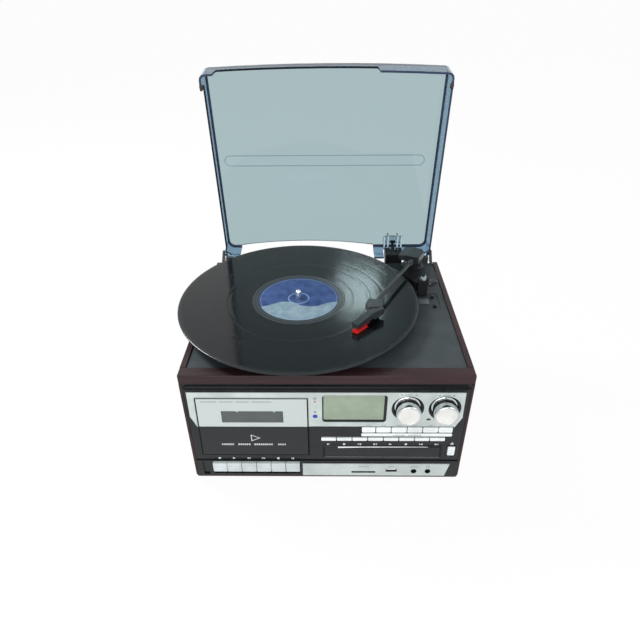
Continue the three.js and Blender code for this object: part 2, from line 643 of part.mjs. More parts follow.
// The loop of a belt around the drive ring and the pulley, a given way out from both.
function beltLoop(out) {
  const lean = Math.acos((platter.ring - pulley.radius) / motor.reach) / deg;
  const turn = motor.turnDeg;
  return [
    ...arc(discAt.x, discAt.y, platter.ring + out, turn + lean, turn + 360 - lean, steps.knob),
    ...arc(motorAt.x, motorAt.y, pulley.radius + out, turn - lean, turn + lean, steps.corner * 2),
  ];
}
const beltLow = pulleyLow + pulley.flangeThick + gap;
piece(
  "drive_belt",
  upright(beltLoop(belt.slack + belt.thick), beltLow, beltLow + belt.width, [beltLoop(belt.slack).reverse()]),
  "#17181a",
  0.8,
);

// Tonearm: a place given along the arm and to its right
const armWay = [Math.cos(arm.turnDeg * deg), Math.sin(arm.turnDeg * deg)];
const armSpot = (along, aside) => [
  armAt.x + armWay[0] * along - armWay[1] * aside * -1,
  armAt.y + armWay[1] * along + armWay[0] * aside * -1,
];
const armBlock = (from, to, wide, z0, z1, wideEnd = wide) =>
  upright(
    [armSpot(from, -wide / 2), armSpot(to, -wideEnd / 2), armSpot(to, wideEnd / 2), armSpot(from, wide / 2)],
    z0,
    z1,
  );
// A round bar along the arm.
function armRod(radius, from, to, count) {
  const bar = turned(rod(radius, from, to), count).rotateY(Math.PI / 2).rotateZ(arm.turnDeg * deg);
  return solid(bar.translate(armAt.x, armAt.y, armZ));
}

// Base with its upright column
const armBaseTop = deckTop + gap + armBase.thick;
const columnProfile = [
  [0, armBaseTop - armBase.corner],
  [armBase.column, armBaseTop - armBase.corner],
  [armBase.column, armBaseTop + armBase.corner / 2],
  [armBase.columnNeck, armBaseTop + armBase.corner],
  [armBase.columnNeck, top + armBase.columnTop],
  [0, top + armBase.columnTop],
];
const tonearmBase = join(
  upright(baseOutline, deckTop + gap, armBaseTop),
  turnedUp(columnProfile, steps.small, armAt.x, armAt.y),
);
const baseSide = Math.max(...baseOutline.map((p) => p[0]));
const cueX = baseSide + gap;
const cueZ = deckTop + cue.z;
const cueAxle = turnedSide(rod(cue.axle, baseSide - past, cueX + cue.wide), steps.tiny, 0, cueY, cueZ);
piece("tonearm_base", tonearmBase.add(cueAxle), "#1d1f21", 0.45);

// Cap over the pivot: a roof of two slopes, walls beside the arm and a hub that turns on the column
const capLow = top + armCap.bottom;
const capHigh = top + armCap.top;
const hubLow = top + armBase.columnTop + gap;
const slotWide = collar.width + 2 * armCap.slack;
const hubHigh = armZ - collar.height / 2 - armCap.under;
const slopeOutline = inset([capOutline[0], capOutline[6], capOutline[2], capOutline[1]], -past);
const slopeCut = loft([
  slopeOutline.map(([x, y], i) => [x, y, i === 0 || i === 3 ? capHigh - armCap.fall : capHigh]),
  slopeOutline.map(([x, y]) => [x, y, capHigh + past]),
]);
let cap = join(
  upright(capOutline, capLow, capHigh),
  turnedUp(rod(armCap.hub, hubLow, hubHigh), steps.small, armAt.x, armAt.y),
);
cap = cut(
  cap,
  slopeCut,
  armBlock(-armCap.back, collar.to, slotWide, hubHigh, capHigh - armCap.thick),
  armBlock(armCap.hub, collar.to, slotWide, hubLow - past, capHigh - armCap.thick),
);
piece("arm_cap", cap, "#2a2d30", 0.4);

// Arm: square collar at the pivot, then a round tube
const armTube = join(
  armBlock(-collar.behind, collar.to, collar.width, armZ - collar.height / 2, armZ + collar.height / 2, collar.width - collar.taper),
  armRod(arm.radius, arm.from, arm.to, steps.tiny),
);
piece("arm_tube", armTube, "#4c5154", 0.35, 0.3);

// Headshell: clamp block, body with a roof that falls towards the nose, and finger lift
const shellHigh = top + shell.top;
const shellLow = top + shell.bottom;
const blockLow = top + shell.blockBottom;
const roofOutline = inset([shellBody[2], shellBody[3], shellBody[4], shellBody[5]], -past);
const roofCut = loft([
  roofOutline.map(([x, y], i) => [x, y, i === 1 || i === 2 ? shellHigh - shell.fall : shellHigh]),
  roofOutline.map(([x, y]) => [x, y, shellHigh + past]),
]);
const headshell = cut(
  join(
    upright(shellBlock, blockLow, top + shell.blockTop),
    upright(shellBody, shellLow, shellHigh),
    upright(liftOutline, blockLow, blockLow + fingerLift.thick),
  ),
  roofCut,
  armRod(arm.radius + gap, arm.to - arm.from, arm.to + gap, steps.tiny),
);
piece("headshell", headshell, "#45494c", 0.5);

// Cartridge with its stylus guard
const noseMid = [(shellBody[3][0] + shellBody[4][0]) / 2, (shellBody[3][1] + shellBody[4][1]) / 2];
const waistMid = [(shellBody[2][0] + shellBody[5][0]) / 2, (shellBody[2][1] + shellBody[5][1]) / 2];
const shellLong = Math.hypot(waistMid[0] - noseMid[0], waistMid[1] - noseMid[1]);
const shellWay = [(waistMid[0] - noseMid[0]) / shellLong, (waistMid[1] - noseMid[1]) / shellLong];
const shellSpot = (along, aside) => [
  noseMid[0] + shellWay[0] * along + shellWay[1] * aside,
  noseMid[1] + shellWay[1] * along - shellWay[0] * aside,
];
const shellBlockOf = (from, to, wide, z0, z1, wideEnd = wide) =>
  upright(
    [shellSpot(from, -wide / 2), shellSpot(to, -wideEnd / 2), shellSpot(to, wideEnd / 2), shellSpot(from, wide / 2)],
    z0,
    z1,
  );
const cartHigh = shellLow - cartridge.drop;
const cartLow = cartHigh - cartridge.depth;
const stylus = loft([
  [[1, 1], [-1, 1], [-1, -1], [1, -1]].map(([a, b]) => {
    const [x, y] = shellSpot(cartridge.point + a * cartridge.tip * 2, b * cartridge.tip);
    return [x, y, cartLow + cartridge.drop];
  }),
  [[1, 1], [-1, 1], [-1, -1], [1, -1]].map(([a, b]) => {
    const [x, y] = shellSpot(cartridge.point + (a * cartridge.tip) / 3, (b * cartridge.tip) / 3);
    return [x, y, recordTop + gap];
  }),
]);
const guardOutline = [
  shellSpot(-guard.behind, -guard.left),
  shellSpot(guard.length - guard.behind, -guard.left),
  shellSpot(guard.length - guard.behind, guard.right),
  shellSpot(-guard.behind, guard.right),
];
const cartridgeBody = join(
  shellBlockOf(cartridge.ahead, cartridge.ahead + cartridge.length, cartridge.width, cartLow, cartHigh),
  upright(guardOutline, top + guard.bottom, top + guard.top),
  stylus,
);
piece("cartridge", cartridgeBody, "#c42b26", 0.4);

// Arm rest and its clip
const restFloor = top + rest.floor;
const restOutline = [
  [restAt.left, deckTop + gap],
  [restAt.right, deckTop + gap],
  [restAt.right, top + rest.prong],
  [restAt.right - rest.prongWide, top + rest.prong],
  [restAt.right - rest.prongWide, restFloor - rest.notch + rest.lip],
  [restAt.right - rest.prongWide - rest.notch, restFloor - rest.notch],
  [restAt.left + rest.notch * 2, restFloor - rest.notch],
  [restAt.left + rest.notch, restFloor],
  [restAt.left, restFloor],
];
piece("arm_rest", facing(restOutline, restAt.front, restAt.back), "#232527", 0.45);
const clipX = restAt.right + gap + clip.hub;
const clipZ = top + clip.z;
const clipOutline = [
  [clip.thick / 2, -clip.thick],
  [clip.thick / 2, clip.height],
  [clip.thick / 2 - clip.reach, clip.height],
  [clip.thick / 2 - clip.reach, clip.height - clip.lip],
  [clip.thick * 1.5 - clip.reach, clip.height - clip.lip],
  [clip.thick * 1.5 - clip.reach, clip.height - clip.thick],
  [-clip.thick / 2, clip.height - clip.thick],
  [-clip.thick / 2, -clip.thick],
];
const clipMid = restAt.front + clip.inFromFront + clip.width / 2;
const clipShut = join(
  facing(clipOutline, -clip.width / 2, clip.width / 2),
  turnedFront(rod(clip.hub, -clip.width / 2, clip.width / 2), steps.tiny, 0, 0, 0),
);
piece("arm_clip", moved(clipShut.rotate([0, clip.openDeg, 0]), clipX, clipMid, clipZ), "#8e9699", 0.35);

// Cue lever on the side of the tonearm base
const cueLever = join(
  turnedSide(rod(cue.hub, 0, cue.wide), steps.tiny, cueX, cueY, cueZ),
  sideways(
    [
      [cueY, cueZ - cue.thick / 2],
      [cueY, cueZ + cue.thick / 2],
      [cueY - cue.armY, cueZ + cue.armZ + cue.thick / 2],
      [cueY - cue.armY, cueZ + cue.armZ - cue.thick / 2],
    ],
    cueX,
    cueX + cue.wide,
  ),
  solid(
    turned(rod(cue.knob, 0, cue.knobLong), steps.tiny)
      .rotateY(cue.knobDeg * deg)
      .translate(cueX + cue.wide / 2, cueY - cue.armY, cueZ + cue.armZ),
  ),
);
const cueBore = turnedSide(rod(cue.bore, -past, cue.wide + past), steps.tiny, cueX, cueY, cueZ);
piece("cue_lever", cueLever.subtract(cueBore), "#1b1c1e", 0.4);

// Lid: a thin shell with rounded edges, built shut about its hinge axis, then opened
function lidOutline(by) {
  const x = lidHalf - by;
  const v0 = by;
  const v1 = lid.length - by;
  const rb = Math.max(lidRound.backCorner - by, lidRound.least);
  const rf = Math.max(lidRound.frontCorner - by, lidRound.least);
  const span = x - rf;
  const bowed = Array.from({ length: steps.bow - 1 }, (_, i) => {
    const u = span - (2 * span * (i + 1)) / steps.bow;
    return [u, v1 + lid.bow * (1 - (u / span) ** 2)];
  });
  return [
    ...arc(x - rb, v0 + rb, rb, -90, 0, steps.corner + 1),
    ...arc(x - rf, v1 - rf, rf, 0, 90, steps.corner),
    ...bowed,
    ...arc(rf - x, v1 - rf, rf, 90, 180, steps.corner),
    ...arc(rb - x, v0 + rb, rb, 180, 270, steps.corner + 1),
  ];
}
const lidRing = (by, z) => lidOutline(by).map(([x, v]) => [x, lid.pivotBack - v, z]);
function lidSolid(by, low, high) {
  const r = lidRound.edge - by;
  const rings = [lidRing(by, low)];
  for (const [across, up] of arc(0, high - r, r, 0, 90, steps.corner + 1)) rings.push(lidRing(by + r - across, up));
  return loft(rings);
}
const away = (v) => lid.pivotBack - v;
const lidFree = -lid.under;
const [backLeft, backRight] = [discAt.x - backCut.left, discAt.x + backCut.right];
const [frontLeft, frontRight] = [frontCut.beside - lidHalf, discAt.x + frontCut.right];
const backArc = Array.from({ length: steps.bow + 1 }, (_, i) => {
  const u = (2 * i) / steps.bow - 1;
  const x = (backLeft + backRight) / 2 + (u * (backRight - backLeft)) / 2;
  return [x, away(backCut.ends + (backCut.middle - backCut.ends) * (1 - u * u))];
});
const lidShell = cut(
  lidSolid(0, lidFree, lid.over),
  lidSolid(lid.wall, lidFree - past, lid.over - lid.wall),
  facing(
    [
      [frontLeft, lidFree - past],
      [frontRight, lidFree - past],
      [frontRight - frontCut.slant, lidFree + frontCut.deep],
      [frontLeft + frontCut.slant, lidFree + frontCut.deep],
    ],
    away(lid.length - lidRound.frontCorner),
    away(lid.length + lid.bow + past),
  ),
  sideways(
    [
      [away(sideCut.back), lidFree - past],
      [away(lid.length - sideCut.front), lidFree - past],
      [away(lid.length - sideCut.front - sideCut.slant), lidFree + sideCut.deep],
      [away(sideCut.back + sideCut.slant), lidFree + sideCut.deep],
    ],
    -lidHalf - past,
    -lidHalf + lid.wall + past,
  ),
  upright([[backRight, away(-past)], [backLeft, away(-past)], ...backArc], lidFree - past, lid.over + past),
  block(
    hingeLeft - blockCut.beside,
    hingeRight + blockCut.beside,
    away(lidRound.edge),
    away(-past),
    lidFree - past,
    lidFree + blockCut.deep,
  ),
  turnedSide(rod(pin.radius + pin.slack, -lidHalf - past, lidHalf + past), steps.tiny, 0, 0, 0),
);
const bumpers = [1, -1].map((way) => {
  const [x0, x1] = [way * lidIn, way * lidHalf].sort((a, b) => a - b);
  const v = lid.length - bumper.fromFront;
  return block(x0, x1, away(v), away(v - bumper.length), lidFree - bumper.thick, lidFree + bumper.thick);
});
// The catch that holds the tongue of the friction hinge: a floor, two ribs that run on as prongs and a pocket
const lidInner = lid.over - lid.wall / 2;
const ribAt = (x, reach) =>
  sideways(
    [
      [-catchBox.near, catchBox.low],
      [-catchBox.near, lidInner],
      [-reach, lidInner],
      [-catchBox.far, catchBox.low],
    ],
    x - catchBox.wall / 2,
    x + catchBox.wall / 2,
  );
const catchSide = catchBox.half - catchBox.wall / 2;
const tongueTop = tongue.lift + tongue.thick;
const catchParts = [
  ...[-1, 1].map((way) => ribAt(catchMid + way * catchSide, catchBox.side)),
  ...[-1, 1].map((way) => ribAt(catchMid + way * catchBox.rib, catchBox.prong)),
  block(
    catchMid - catchBox.half,
    catchMid + catchBox.half,
    -catchBox.near - catchBox.wall,
    -catchBox.near,
    tongueTop + catchBox.pocket,
    lidInner,
  ),
  block(
    catchMid - catchBox.half,
    catchMid + catchBox.half,
    -catchBox.far,
    -catchBox.floor,
    catchBox.low,
    tongue.lift - gap,
  ),
];
// From the shut place about the axis to the open place on the cabinet.
const opened = (body) => moved(body.rotate([-lid.openDeg, 0, 0]), 0, hingeY, hingeZ);
piece("lid", opened(join(lidShell, ...bumpers, ...catchParts)), "#9fb4b8", 0.08);

// Tongue of the friction hinge, cranked from the barrel into the catch
const tongueOutline = [
  [0, 0],
  [-tongue.barrel + gap, 0],
  [-tongue.knee - tongue.thick, tongue.lift],
  [-tongue.far, tongue.lift],
  [-tongue.far, tongueTop],
  [-tongue.knee, tongueTop],
  [0, tongue.barrel - gap],
];
const headOutline = rect(-tongue.far, tongue.headLong - tongue.far, tongue.lift, tongueTop);
const tongueBody = cut(
  join(
    sideways(tongueOutline, catchMid - tongue.stem / 2, catchMid + tongue.stem / 2),
    sideways(headOutline, catchMid - tongue.head / 2, catchMid + tongue.head / 2),
    turnedSide(rod(tongue.barrel, -tongue.width / 2, tongue.width / 2), steps.small, catchMid, 0, 0),
  ),
  turnedSide(rod(tongue.bore, -tongue.width, tongue.width), steps.tiny, catchMid, 0, 0),
);
piece("hinge_tongue", opened(tongueBody), "#17181a", 0.4);

// Block of the friction hinge: a body behind the cabinet, two round cheeks and the pin between them
const hingeLow = deckLow - hinge.drop;
const hingeFront = back + gap;
const hingeTop = deckTop + gap + hinge.rise;
const hingeBody = join(
  sideways(
    [
      [hingeFront, hingeLow],
      [hingeY, hingeLow],
      [hingeY, hingeTop],
      [hingeFront + hinge.chamfer, hingeTop],
      [hingeFront, hingeTop - hinge.chamfer],
    ],
    hingeLeft,
    hingeRight,
  ),
  turnedSide(rod(hinge.cheek, hingeLeft, hingeRight), steps.small, 0, hingeY, hingeZ),
);
const tongueHalf = tongue.width / 2 + tongue.slot;
const hingeSlot = turnedSide(rod(tongue.barrel + gap, -tongueHalf, tongueHalf), steps.small, catchMid, hingeY, hingeZ);
const hingeMouth = block(
  catchMid - tongueHalf,
  catchMid + tongueHalf,
  hingeY - tongue.knee - tongue.thick,
  hingeY + hinge.cheek + past,
  hingeZ,
  hingeZ + hinge.cheek + past,
);
const hingePin = turnedSide(rod(hinge.pin, hingeLeft + past, hingeRight - past), steps.tiny, 0, hingeY, hingeZ);
piece("hinge_block", cut(hingeBody, hingeSlot, hingeMouth).add(hingePin), "#141517", 0.35);

// Front panel: plate, step, lip bar, knob rings and rim of the open key, with every opening cut
const lipOutline = arc(0, 0, 1, 90, 270, steps.nose).map(([u, v]) => [u, v]);
const lipMid = (lip.top + lip.bottom) / 2;
const lipReach = (lip.top - lip.bottom) / 2;
const lipHalf = fasciaHalf - lip.short;
function lipRing(x, share) {
  return [
    ...lipOutline.map(([u, v]) => [x, fasciaFront + lip.out * share * u, lipMid + lipReach * share * v]),
    [x, fasciaFront + fascia.back / 2, lipMid - lipReach * share],
    [x, fasciaFront + fascia.back / 2, lipMid + lipReach * share],
  ];
}
const lipEndShare = 0.55;
const lipBar = loft([
  lipRing(-lipHalf, lipEndShare),
  lipRing(-lipHalf + lip.end, 1),
  lipRing(lipHalf - lip.end, 1),
  lipRing(lipHalf, lipEndShare),
]);
const holeOf = (p, more = gap) => rect(p.left - more, p.right + more, p.bottom - more, p.top + more);
const rowHole = (row) => ({ left: row.edges[0], right: row.edges[row.edges.length - 1], top: row.top, bottom: row.bottom });
const doorPoints = (more) => [
  [door.left - more, door.top + more],
  [door.leftLow - more, door.bottom - more],
  [door.right + more, door.bottom - more],
  [door.right + more, door.top + more],
];
const knobRing = (x) =>
  turnedFront(
    [
      [knob.cone, -fascia.back / 2],
      [knob.ring - gap, -fascia.back / 2],
      [knob.ring - gap, knob.ringOut],
      [knob.cone, 0],
      [knob.cone, -fascia.back / 2],
    ],
    steps.knob,
    x,
    fasciaFront,
    knob.z,
  );
const frameOutline = rounded(
  openKey.left - openKey.frame,
  openKey.right + openKey.frame,
  openKey.bottom - openKey.frame,
  openKey.top + openKey.frame,
  openKey.frame,
);
const openFrame = facing(
  frameOutline,
  fasciaFront + fascia.back / 2,
  fasciaFront - openKey.frame / 2,
);
const barOutline = rounded(bar.left, bar.right, bar.bottom, bar.top, bar.top - bar.bottom);
const barRib = facing(barOutline, fasciaFront + fascia.back / 2, fasciaFront - bar.out);
const through = (points) => facing(points, fasciaBack + past, lowFront - past);
const barrelBack = lowFront + strip.deep;
let fasciaBody = join(
  facing(rect(-fasciaHalf, fasciaHalf, base.thick + gap, fasciaTop), fasciaBack, fasciaFront),
  facing(rect(-fasciaHalf, fasciaHalf, base.thick + gap, fasciaStep), fasciaBack, lowFront),
  lipBar,
  openFrame,
  barRib,
);
fasciaBody = cut(
  fasciaBody,
  through(doorPoints(gap)),
  through(holeOf(rowHole(keyRow))),
  through(holeOf(lcd)),
  through(holeOf(rowHole(functionRow))),
  through(holeOf(rowHole(discRow))),
  through(holeOf(drawer)),
  through(holeOf(openKey)),
  through(holeOf({ left: usb.left - usb.wall, right: usb.right + usb.wall, top: usb.top + usb.wall, bottom: usb.bottom - usb.wall })),
  facing(holeOf(pit, 0), lowFront + pit.deep, lowFront - past),
  ...knob.x.map((x) => turnedFront(rod(knobCap.shaft + gap, -fascia.back - past, past), steps.tiny, x, fasciaFront, knob.z)),
  ...knob.x.map((x) => turnedFront(rod(knob.cone, -knob.sink, past), steps.knob, x, fasciaFront, knob.z)),
  ...jack.x.map((x) => turnedFront(rod(jack.barrel + gap, -fascia.back - past, fascia.stepOut + past), steps.small, x, fasciaFront, jack.z)),
);
fasciaBody = join(fasciaBody, ...knob.x.map(knobRing));
piece("fascia", fasciaBody, "#23272a", 0.18);

// Silver panel around the door, the display and the knobs
const corner = placed(cornerShares);
const silverOutline = [
  [silver.left, silver.top],
  [corner.x[0], corner.z[0]],
  [corner.x[1], corner.z[1]],
  [door.leftLow + gap * 2, silver.bottom],
  [corner.x[2], silver.bottom],
  [corner.x[3], corner.z[3]],
  [silver.right, silver.top],
];
const silverPanel = cut(
  facing(silverOutline, silverBack, silverFront),
  facing(doorPoints(gap), silverBack + past, silverFront - past),
  facing(rounded(lcdFrame.left, lcdFrame.right, lcdFrame.bottom, lcdFrame.top, lcdFrame.corner), silverBack + past, silverFront - past),
  ...knob.x.map((x) => turnedFront(rod(knob.ring, -past, silver.thick + past), steps.knob, x, silverBack, knob.z)),
);
piece("silver_panel", silverPanel, "#cdd5d5", 0.35, 0.5);

// Lower strip with the card slot, the data port and the two jacks, their shells reaching back through the panel
const stripBack = lowFront - gap;
const stripFront = stripBack - strip.thick;
let stripBody = facing(
  [
    [strip.left, strip.top],
    [strip.left, strip.bottom],
    [strip.rightLow, strip.bottom],
    [strip.rightTop, strip.top],
  ],
  stripBack,
  stripFront,
);
stripBody = join(
  stripBody,
  facing(rect(usb.left - usb.wall, usb.right + usb.wall, usb.bottom - usb.wall, usb.top + usb.wall), barrelBack, stripFront + past / 2),
  ...jack.x.map((x) => turnedFront(rod(jack.barrel, -strip.deep, strip.thick / 2), steps.small, x, stripBack, jack.z)),
  ...jack.x.map((x) => turnedFront(rod(jack.ring, 0, strip.thick + fascia.stepOut / 2), steps.small, x, stripBack, jack.z)),
);
stripBody = cut(
  stripBody,
  facing(holeOf(cardSlot, 0), stripBack + past, stripFront - past),
  facing(holeOf(usb, 0), barrelBack - usb.wall, stripFront - past),
  ...jack.x.map((x) => turnedFront(rod(jack.hole, usb.wall - strip.deep, strip.thick + fascia.stepOut), steps.tiny, x, stripBack, jack.z)),
);
const usbMid = (usb.top + usb.bottom) / 2;
const usbTongue = facing(
  rect(usb.left + usb.side, usb.right - usb.side, usbMid - usb.tongue / 2, usbMid + usb.tongue / 2),
  barrelBack - usb.wall / 2,
  stripFront + usb.sunk,
);
piece("lower_strip", stripBody.add(usbTongue), "#cfd6d6", 0.35, 0.5);

// Cassette door: a plate with a round lower edge and the tray for the cassette behind it
const doorFront = front - door.out;
const doorBack = doorFront + door.thick;
const doorHinge = { y: (doorFront + doorBack) / 2, z: door.bottom + door.thick / 2 };
const doorPlate = facing(
  [
    [door.left, door.top],
    [door.leftLow + (door.thick / 2) * ((door.left - door.leftLow) / (door.top - door.bottom)), doorHinge.z],
    [door.right, doorHinge.z],
    [door.right, door.top],
  ],
  doorBack,
  doorFront,
);
const doorNose = turnedSide(rod(door.thick / 2, door.leftLow + gap, door.right), steps.small, 0, doorHinge.y, doorHinge.z);
const holderBack = doorBack + holder.deep;
const holderSide = (x0, x1, lipTo) =>
  join(
    block(x0, x1, doorBack - past, holderBack, holder.bottom, holder.top),
    block(Math.min(x0, lipTo), Math.max(x1, lipTo), holderBack - holder.wall, holderBack, holder.bottom, holder.top),
  );
const glassHole = rect(doorWindow.left, doorWindow.right, doorWindow.bottom, doorWindow.top);
const glassSeat = rect(
  doorWindow.left - doorWindow.ledge - gap,
  doorWindow.right + doorWindow.ledge + gap,
  doorWindow.bottom - doorWindow.ledge - gap,
  doorWindow.top + doorWindow.ledge + gap,
);
const doorBody = cut(
  join(
    doorPlate,
    doorNose,
    holderSide(holder.left, holder.left + holder.wall, holder.left + holder.lip),
    holderSide(holder.right - holder.wall, holder.right, holder.right - holder.lip),
    block(holder.left, holder.right, doorBack - past, holderBack, holder.bottom, holder.bottom + holder.floor),
  ),
  facing(glassHole, doorBack + past, doorFront - past),
  facing(glassSeat, doorBack + past, doorBack - doorWindow.thick - gap),
);
piece("cassette_door", doorBody, "#a9b0b1", 0.3, 0.3);
const glassPlate = join(
  facing(
    rect(doorWindow.left - doorWindow.ledge, doorWindow.right + doorWindow.ledge, doorWindow.bottom - doorWindow.ledge, doorWindow.top + doorWindow.ledge),
    doorBack,
    doorBack - doorWindow.thick,
  ),
  facing(
    rect(doorWindow.left + gap, doorWindow.right - gap, doorWindow.bottom + gap, doorWindow.top - gap),
    doorBack - past / 2,
    doorFront + doorWindow.back,
  ),
);
piece("door_window", glassPlate, "#2f3436", 0.12);

// Display
const lcdBody = facing(rect(lcd.left, lcd.right, lcd.bottom, lcd.top), fasciaFront + lcd.back, fasciaFront + lcd.sunk);
piece("lcd_display", lcdBody, "#9aa796", 0.15);

// The two knobs
const knobFace = knobCap.front + fascia.front;
function knobBody(x) {
  const profile = [
    [0, -knobCap.shaftBack],
    [knobCap.shaft, -knobCap.shaftBack],
    [knobCap.shaft, -knob.sink + gap],
    [knob.flange, -knob.sink + gap],
    [knob.flange, -knob.sink + gap + knob.flangeThick],
    [knobCap.waist, -knob.sink + gap + knob.flangeThick * 1.5],
    [knobCap.radius, knobCap.edge],
    [knobCap.radius, knobFace - knobCap.edge],
    [knobCap.radius - knobCap.edge, knobFace],
    [knobCap.dish, knobFace],
    [knobCap.dish - knobCap.dishDeep, knobFace - knobCap.dishDeep],
    [0, knobFace - knobCap.dishDeep],
  ];
  return turnedFront(profile, steps.knob, x, fasciaFront, knob.z);
}
piece("volume_knob", knobBody(knob.x[0]), "#d9dcda", 0.25, 0.8);
piece("tuning_knob", knobBody(knob.x[1]), "#d9dcda", 0.25, 0.8);

// Rows of push buttons
function buttonRow(row, name) {
  for (let i = 0; i + 1 < row.edges.length; i += 1) {
    const [x0, x1] = [row.edges[i] + push.split / 2, row.edges[i + 1] - push.split / 2];
    const points = rounded(x0, x1, row.bottom, row.top, push.corner, 1);
    piece(`${name}_${i + 1}`, capped(points, fasciaFront + push.back, fasciaFront - row.out, push.bevel), "#dfe4e4", 0.35);
  }
}
buttonRow(functionRow, "function_button");
buttonRow(discRow, "disc_button");
const openPoints = rounded(openKey.left, openKey.right, openKey.bottom, openKey.top, push.corner * 2, 1);
piece("open_button", capped(openPoints, fasciaFront + openKey.back, fasciaFront - openKey.out, push.bevel), "#e3e7e6", 0.35);

// Six cassette keys with a ridge across each
const keyFront = front - key.out;
const keyBack = front + key.back;
const keyOutline = [
  [keyBack, keyRow.bottom],
  [keyFront + key.chamfer, keyRow.bottom],
  [keyFront, keyRow.bottom + key.chamfer],
  [keyFront, keyRow.z - key.ridgeHigh],
  [keyFront - key.ridgeOut, keyRow.z - key.ridgeHigh / 2],
  [keyFront - key.ridgeOut, keyRow.z + key.ridgeHigh / 2],
  [keyFront, keyRow.z + key.ridgeHigh],
  [keyFront + key.chamfer, keyRow.top],
  [keyBack, keyRow.top],
];
for (let i = 0; i + 1 < keyRow.edges.length; i += 1) {
  const [x0, x1] = [keyRow.edges[i] + key.split / 2, keyRow.edges[i + 1] - key.split / 2];
  piece(`cassette_key_${i + 1}`, sideways(keyOutline, x0, x1), "#c9cfcf", 0.35, 0.4);
}

// Disc drawer: bezel and tray with the seat for a disc
const drawerFront = fasciaFront - drawer.out;
const bezelBack = drawerFront + drawer.bezel;
const seatY = (bezelBack + tray.back) / 2;
const seatX = (tray.left + tray.right) / 2;
const drawerBody = cut(
  join(
    capped(rect(drawer.left, drawer.right, drawer.bottom, drawer.top), bezelBack, drawerFront, drawer.bevel),
    block(tray.left, tray.right, bezelBack - past, tray.back, tray.top - tray.thick, tray.top),
  ),
  turnedUp(rod(tray.seat, tray.top - tray.seatDeep, tray.top + past), steps.knob, seatX, seatY),
  block(seatX - tray.slot, seatX + tray.slot, seatY, seatY + tray.slotLength, tray.top - tray.thick - past, tray.top + past),
);
piece("disc_drawer", drawerBody, "#202426", 0.2);

// Disc mechanism: floor, side walls, the bridge with its clamp and the turntable hub below the tray
const frameLeft = drawer.left - deckFrame.side;
const frameRight = drawer.right + deckFrame.side;
const bridgeY = seatY - deckFrame.bridge;
const discMechanism = join(
  block(frameLeft, frameRight, deckFrame.front, deckFrame.back, deckFrame.low, deckFrame.low + deckFrame.floor),
  block(frameLeft, frameLeft + deckFrame.wide, deckFrame.front, deckFrame.back, deckFrame.low, deckFrame.high),
  block(frameRight - deckFrame.wide, frameRight, deckFrame.front, deckFrame.back, deckFrame.low, deckFrame.high),
  block(frameLeft, frameRight, bridgeY, bridgeY + 2 * deckFrame.bridge, deckFrame.high - deckFrame.lift, deckFrame.high),
  turnedUp(rod(clamp.radius, deckFrame.high - clamp.height, deckFrame.high), steps.small, seatX, seatY),
  turnedUp(rod(clamp.hub, deckFrame.low, deckFrame.low + clamp.hubTop), steps.small, seatX, seatY),
);
piece("disc_mechanism", discMechanism, "#6d7274", 0.5);

// Cassette mechanism: plate with two reel hubs, flywheels and a motor behind
const tapeBack = tape.front + tape.thick;
const tapeLeg = (x) =>
  join(
    block(x, x + tape.leg, tape.front, tapeBack, base.thick + gap, tape.low + tape.leg),
    block(x, x + tape.leg, tape.front, tapeBack + tape.foot, base.thick + gap, base.thick + gap + tape.thick),
  );
const tapeMechanism = join(
  tapeLeg(tape.left + tape.leg),
  tapeLeg(tape.right - 2 * tape.leg),
  facing(rounded(tape.left, tape.right, tape.low, tape.high, tape.hub), tapeBack, tape.front),
  ...tapeHub.x.map((x) => turnedFront(rod(tape.hub, 0, tape.thick / 2 + tape.hubOut), steps.tiny, x, tape.front, tapeHub.z)),
  ...tapeHub.x.map((x) => turnedFront(rod(tapeHub.wheel, -tape.deep, -tape.thick / 2), steps.small, x, tape.front, tapeHub.z)),
);
piece("cassette_mechanism", tapeMechanism, "#7d8284", 0.5, 0.4);

// Main board with transformer and heat sink
const boardPosts = [1, -1].flatMap((sx) =>
  [1, -1].map((sy) => {
    const x = (board.left + board.right) / 2 + sx * ((board.right - board.left) / 2 - board.postX);
    const y = (board.front + board.back) / 2 + sy * ((board.back - board.front) / 2 - board.postY);
    return turnedUp(rod(board.post, base.thick + gap, board.z + board.thick / 2), steps.tiny, x, y);
  }),
);
const finPitch = (heatsink.right - heatsink.left - heatsink.fin) / (heatsink.fins - 1);
const fins = Array.from({ length: heatsink.fins }, (_, i) => {
  const x = heatsink.left + i * finPitch;
  return block(x, x + heatsink.fin, heatsink.front, heatsink.back, board.z, board.z + heatsink.high);
});
const circuitBoard = join(
  block(board.left, board.right, board.front, board.back, board.z, board.z + board.thick),
  ...boardPosts,
  block(heatsink.left, heatsink.right, heatsink.back - heatsink.base, heatsink.back, board.z, board.z + heatsink.high),
  ...fins,
  upright(rounded(core.left, core.right, core.front, core.back, core.corner), board.z, board.z + core.high),
  upright(
    rounded(core.left + core.bulge, core.right - core.bulge, core.front - core.bulge, core.back + core.bulge, core.corner),
    board.z,
    board.z + core.winding,
  ),
);
piece("circuit_board", circuitBoard, "#3c6b4a", 0.6);

// Loudspeakers behind the slots of the side boards
function loudspeaker(way) {
  const profile = [
    [0, 0],
    [speaker.cone, 0],
    [speaker.cone, 0],
    [speaker.frame, 0],
    [speaker.frame, speaker.frameThick],
    [speaker.cone, speaker.frameThick],
    [speaker.magnet, speaker.deep - speaker.magnetDeep],
    [speaker.magnet, speaker.deep],
    [0, speaker.deep],
  ];
  const body = solid(turned(profile, steps.small).rotateY((-way * Math.PI) / 2));
  return moved(body, way * (sideIn - gap), grille.y, grille.z);
}
piece("left_speaker", loudspeaker(-1), "#2b2d2f", 0.7);
piece("right_speaker", loudspeaker(1), "#2b2d2f", 0.7);

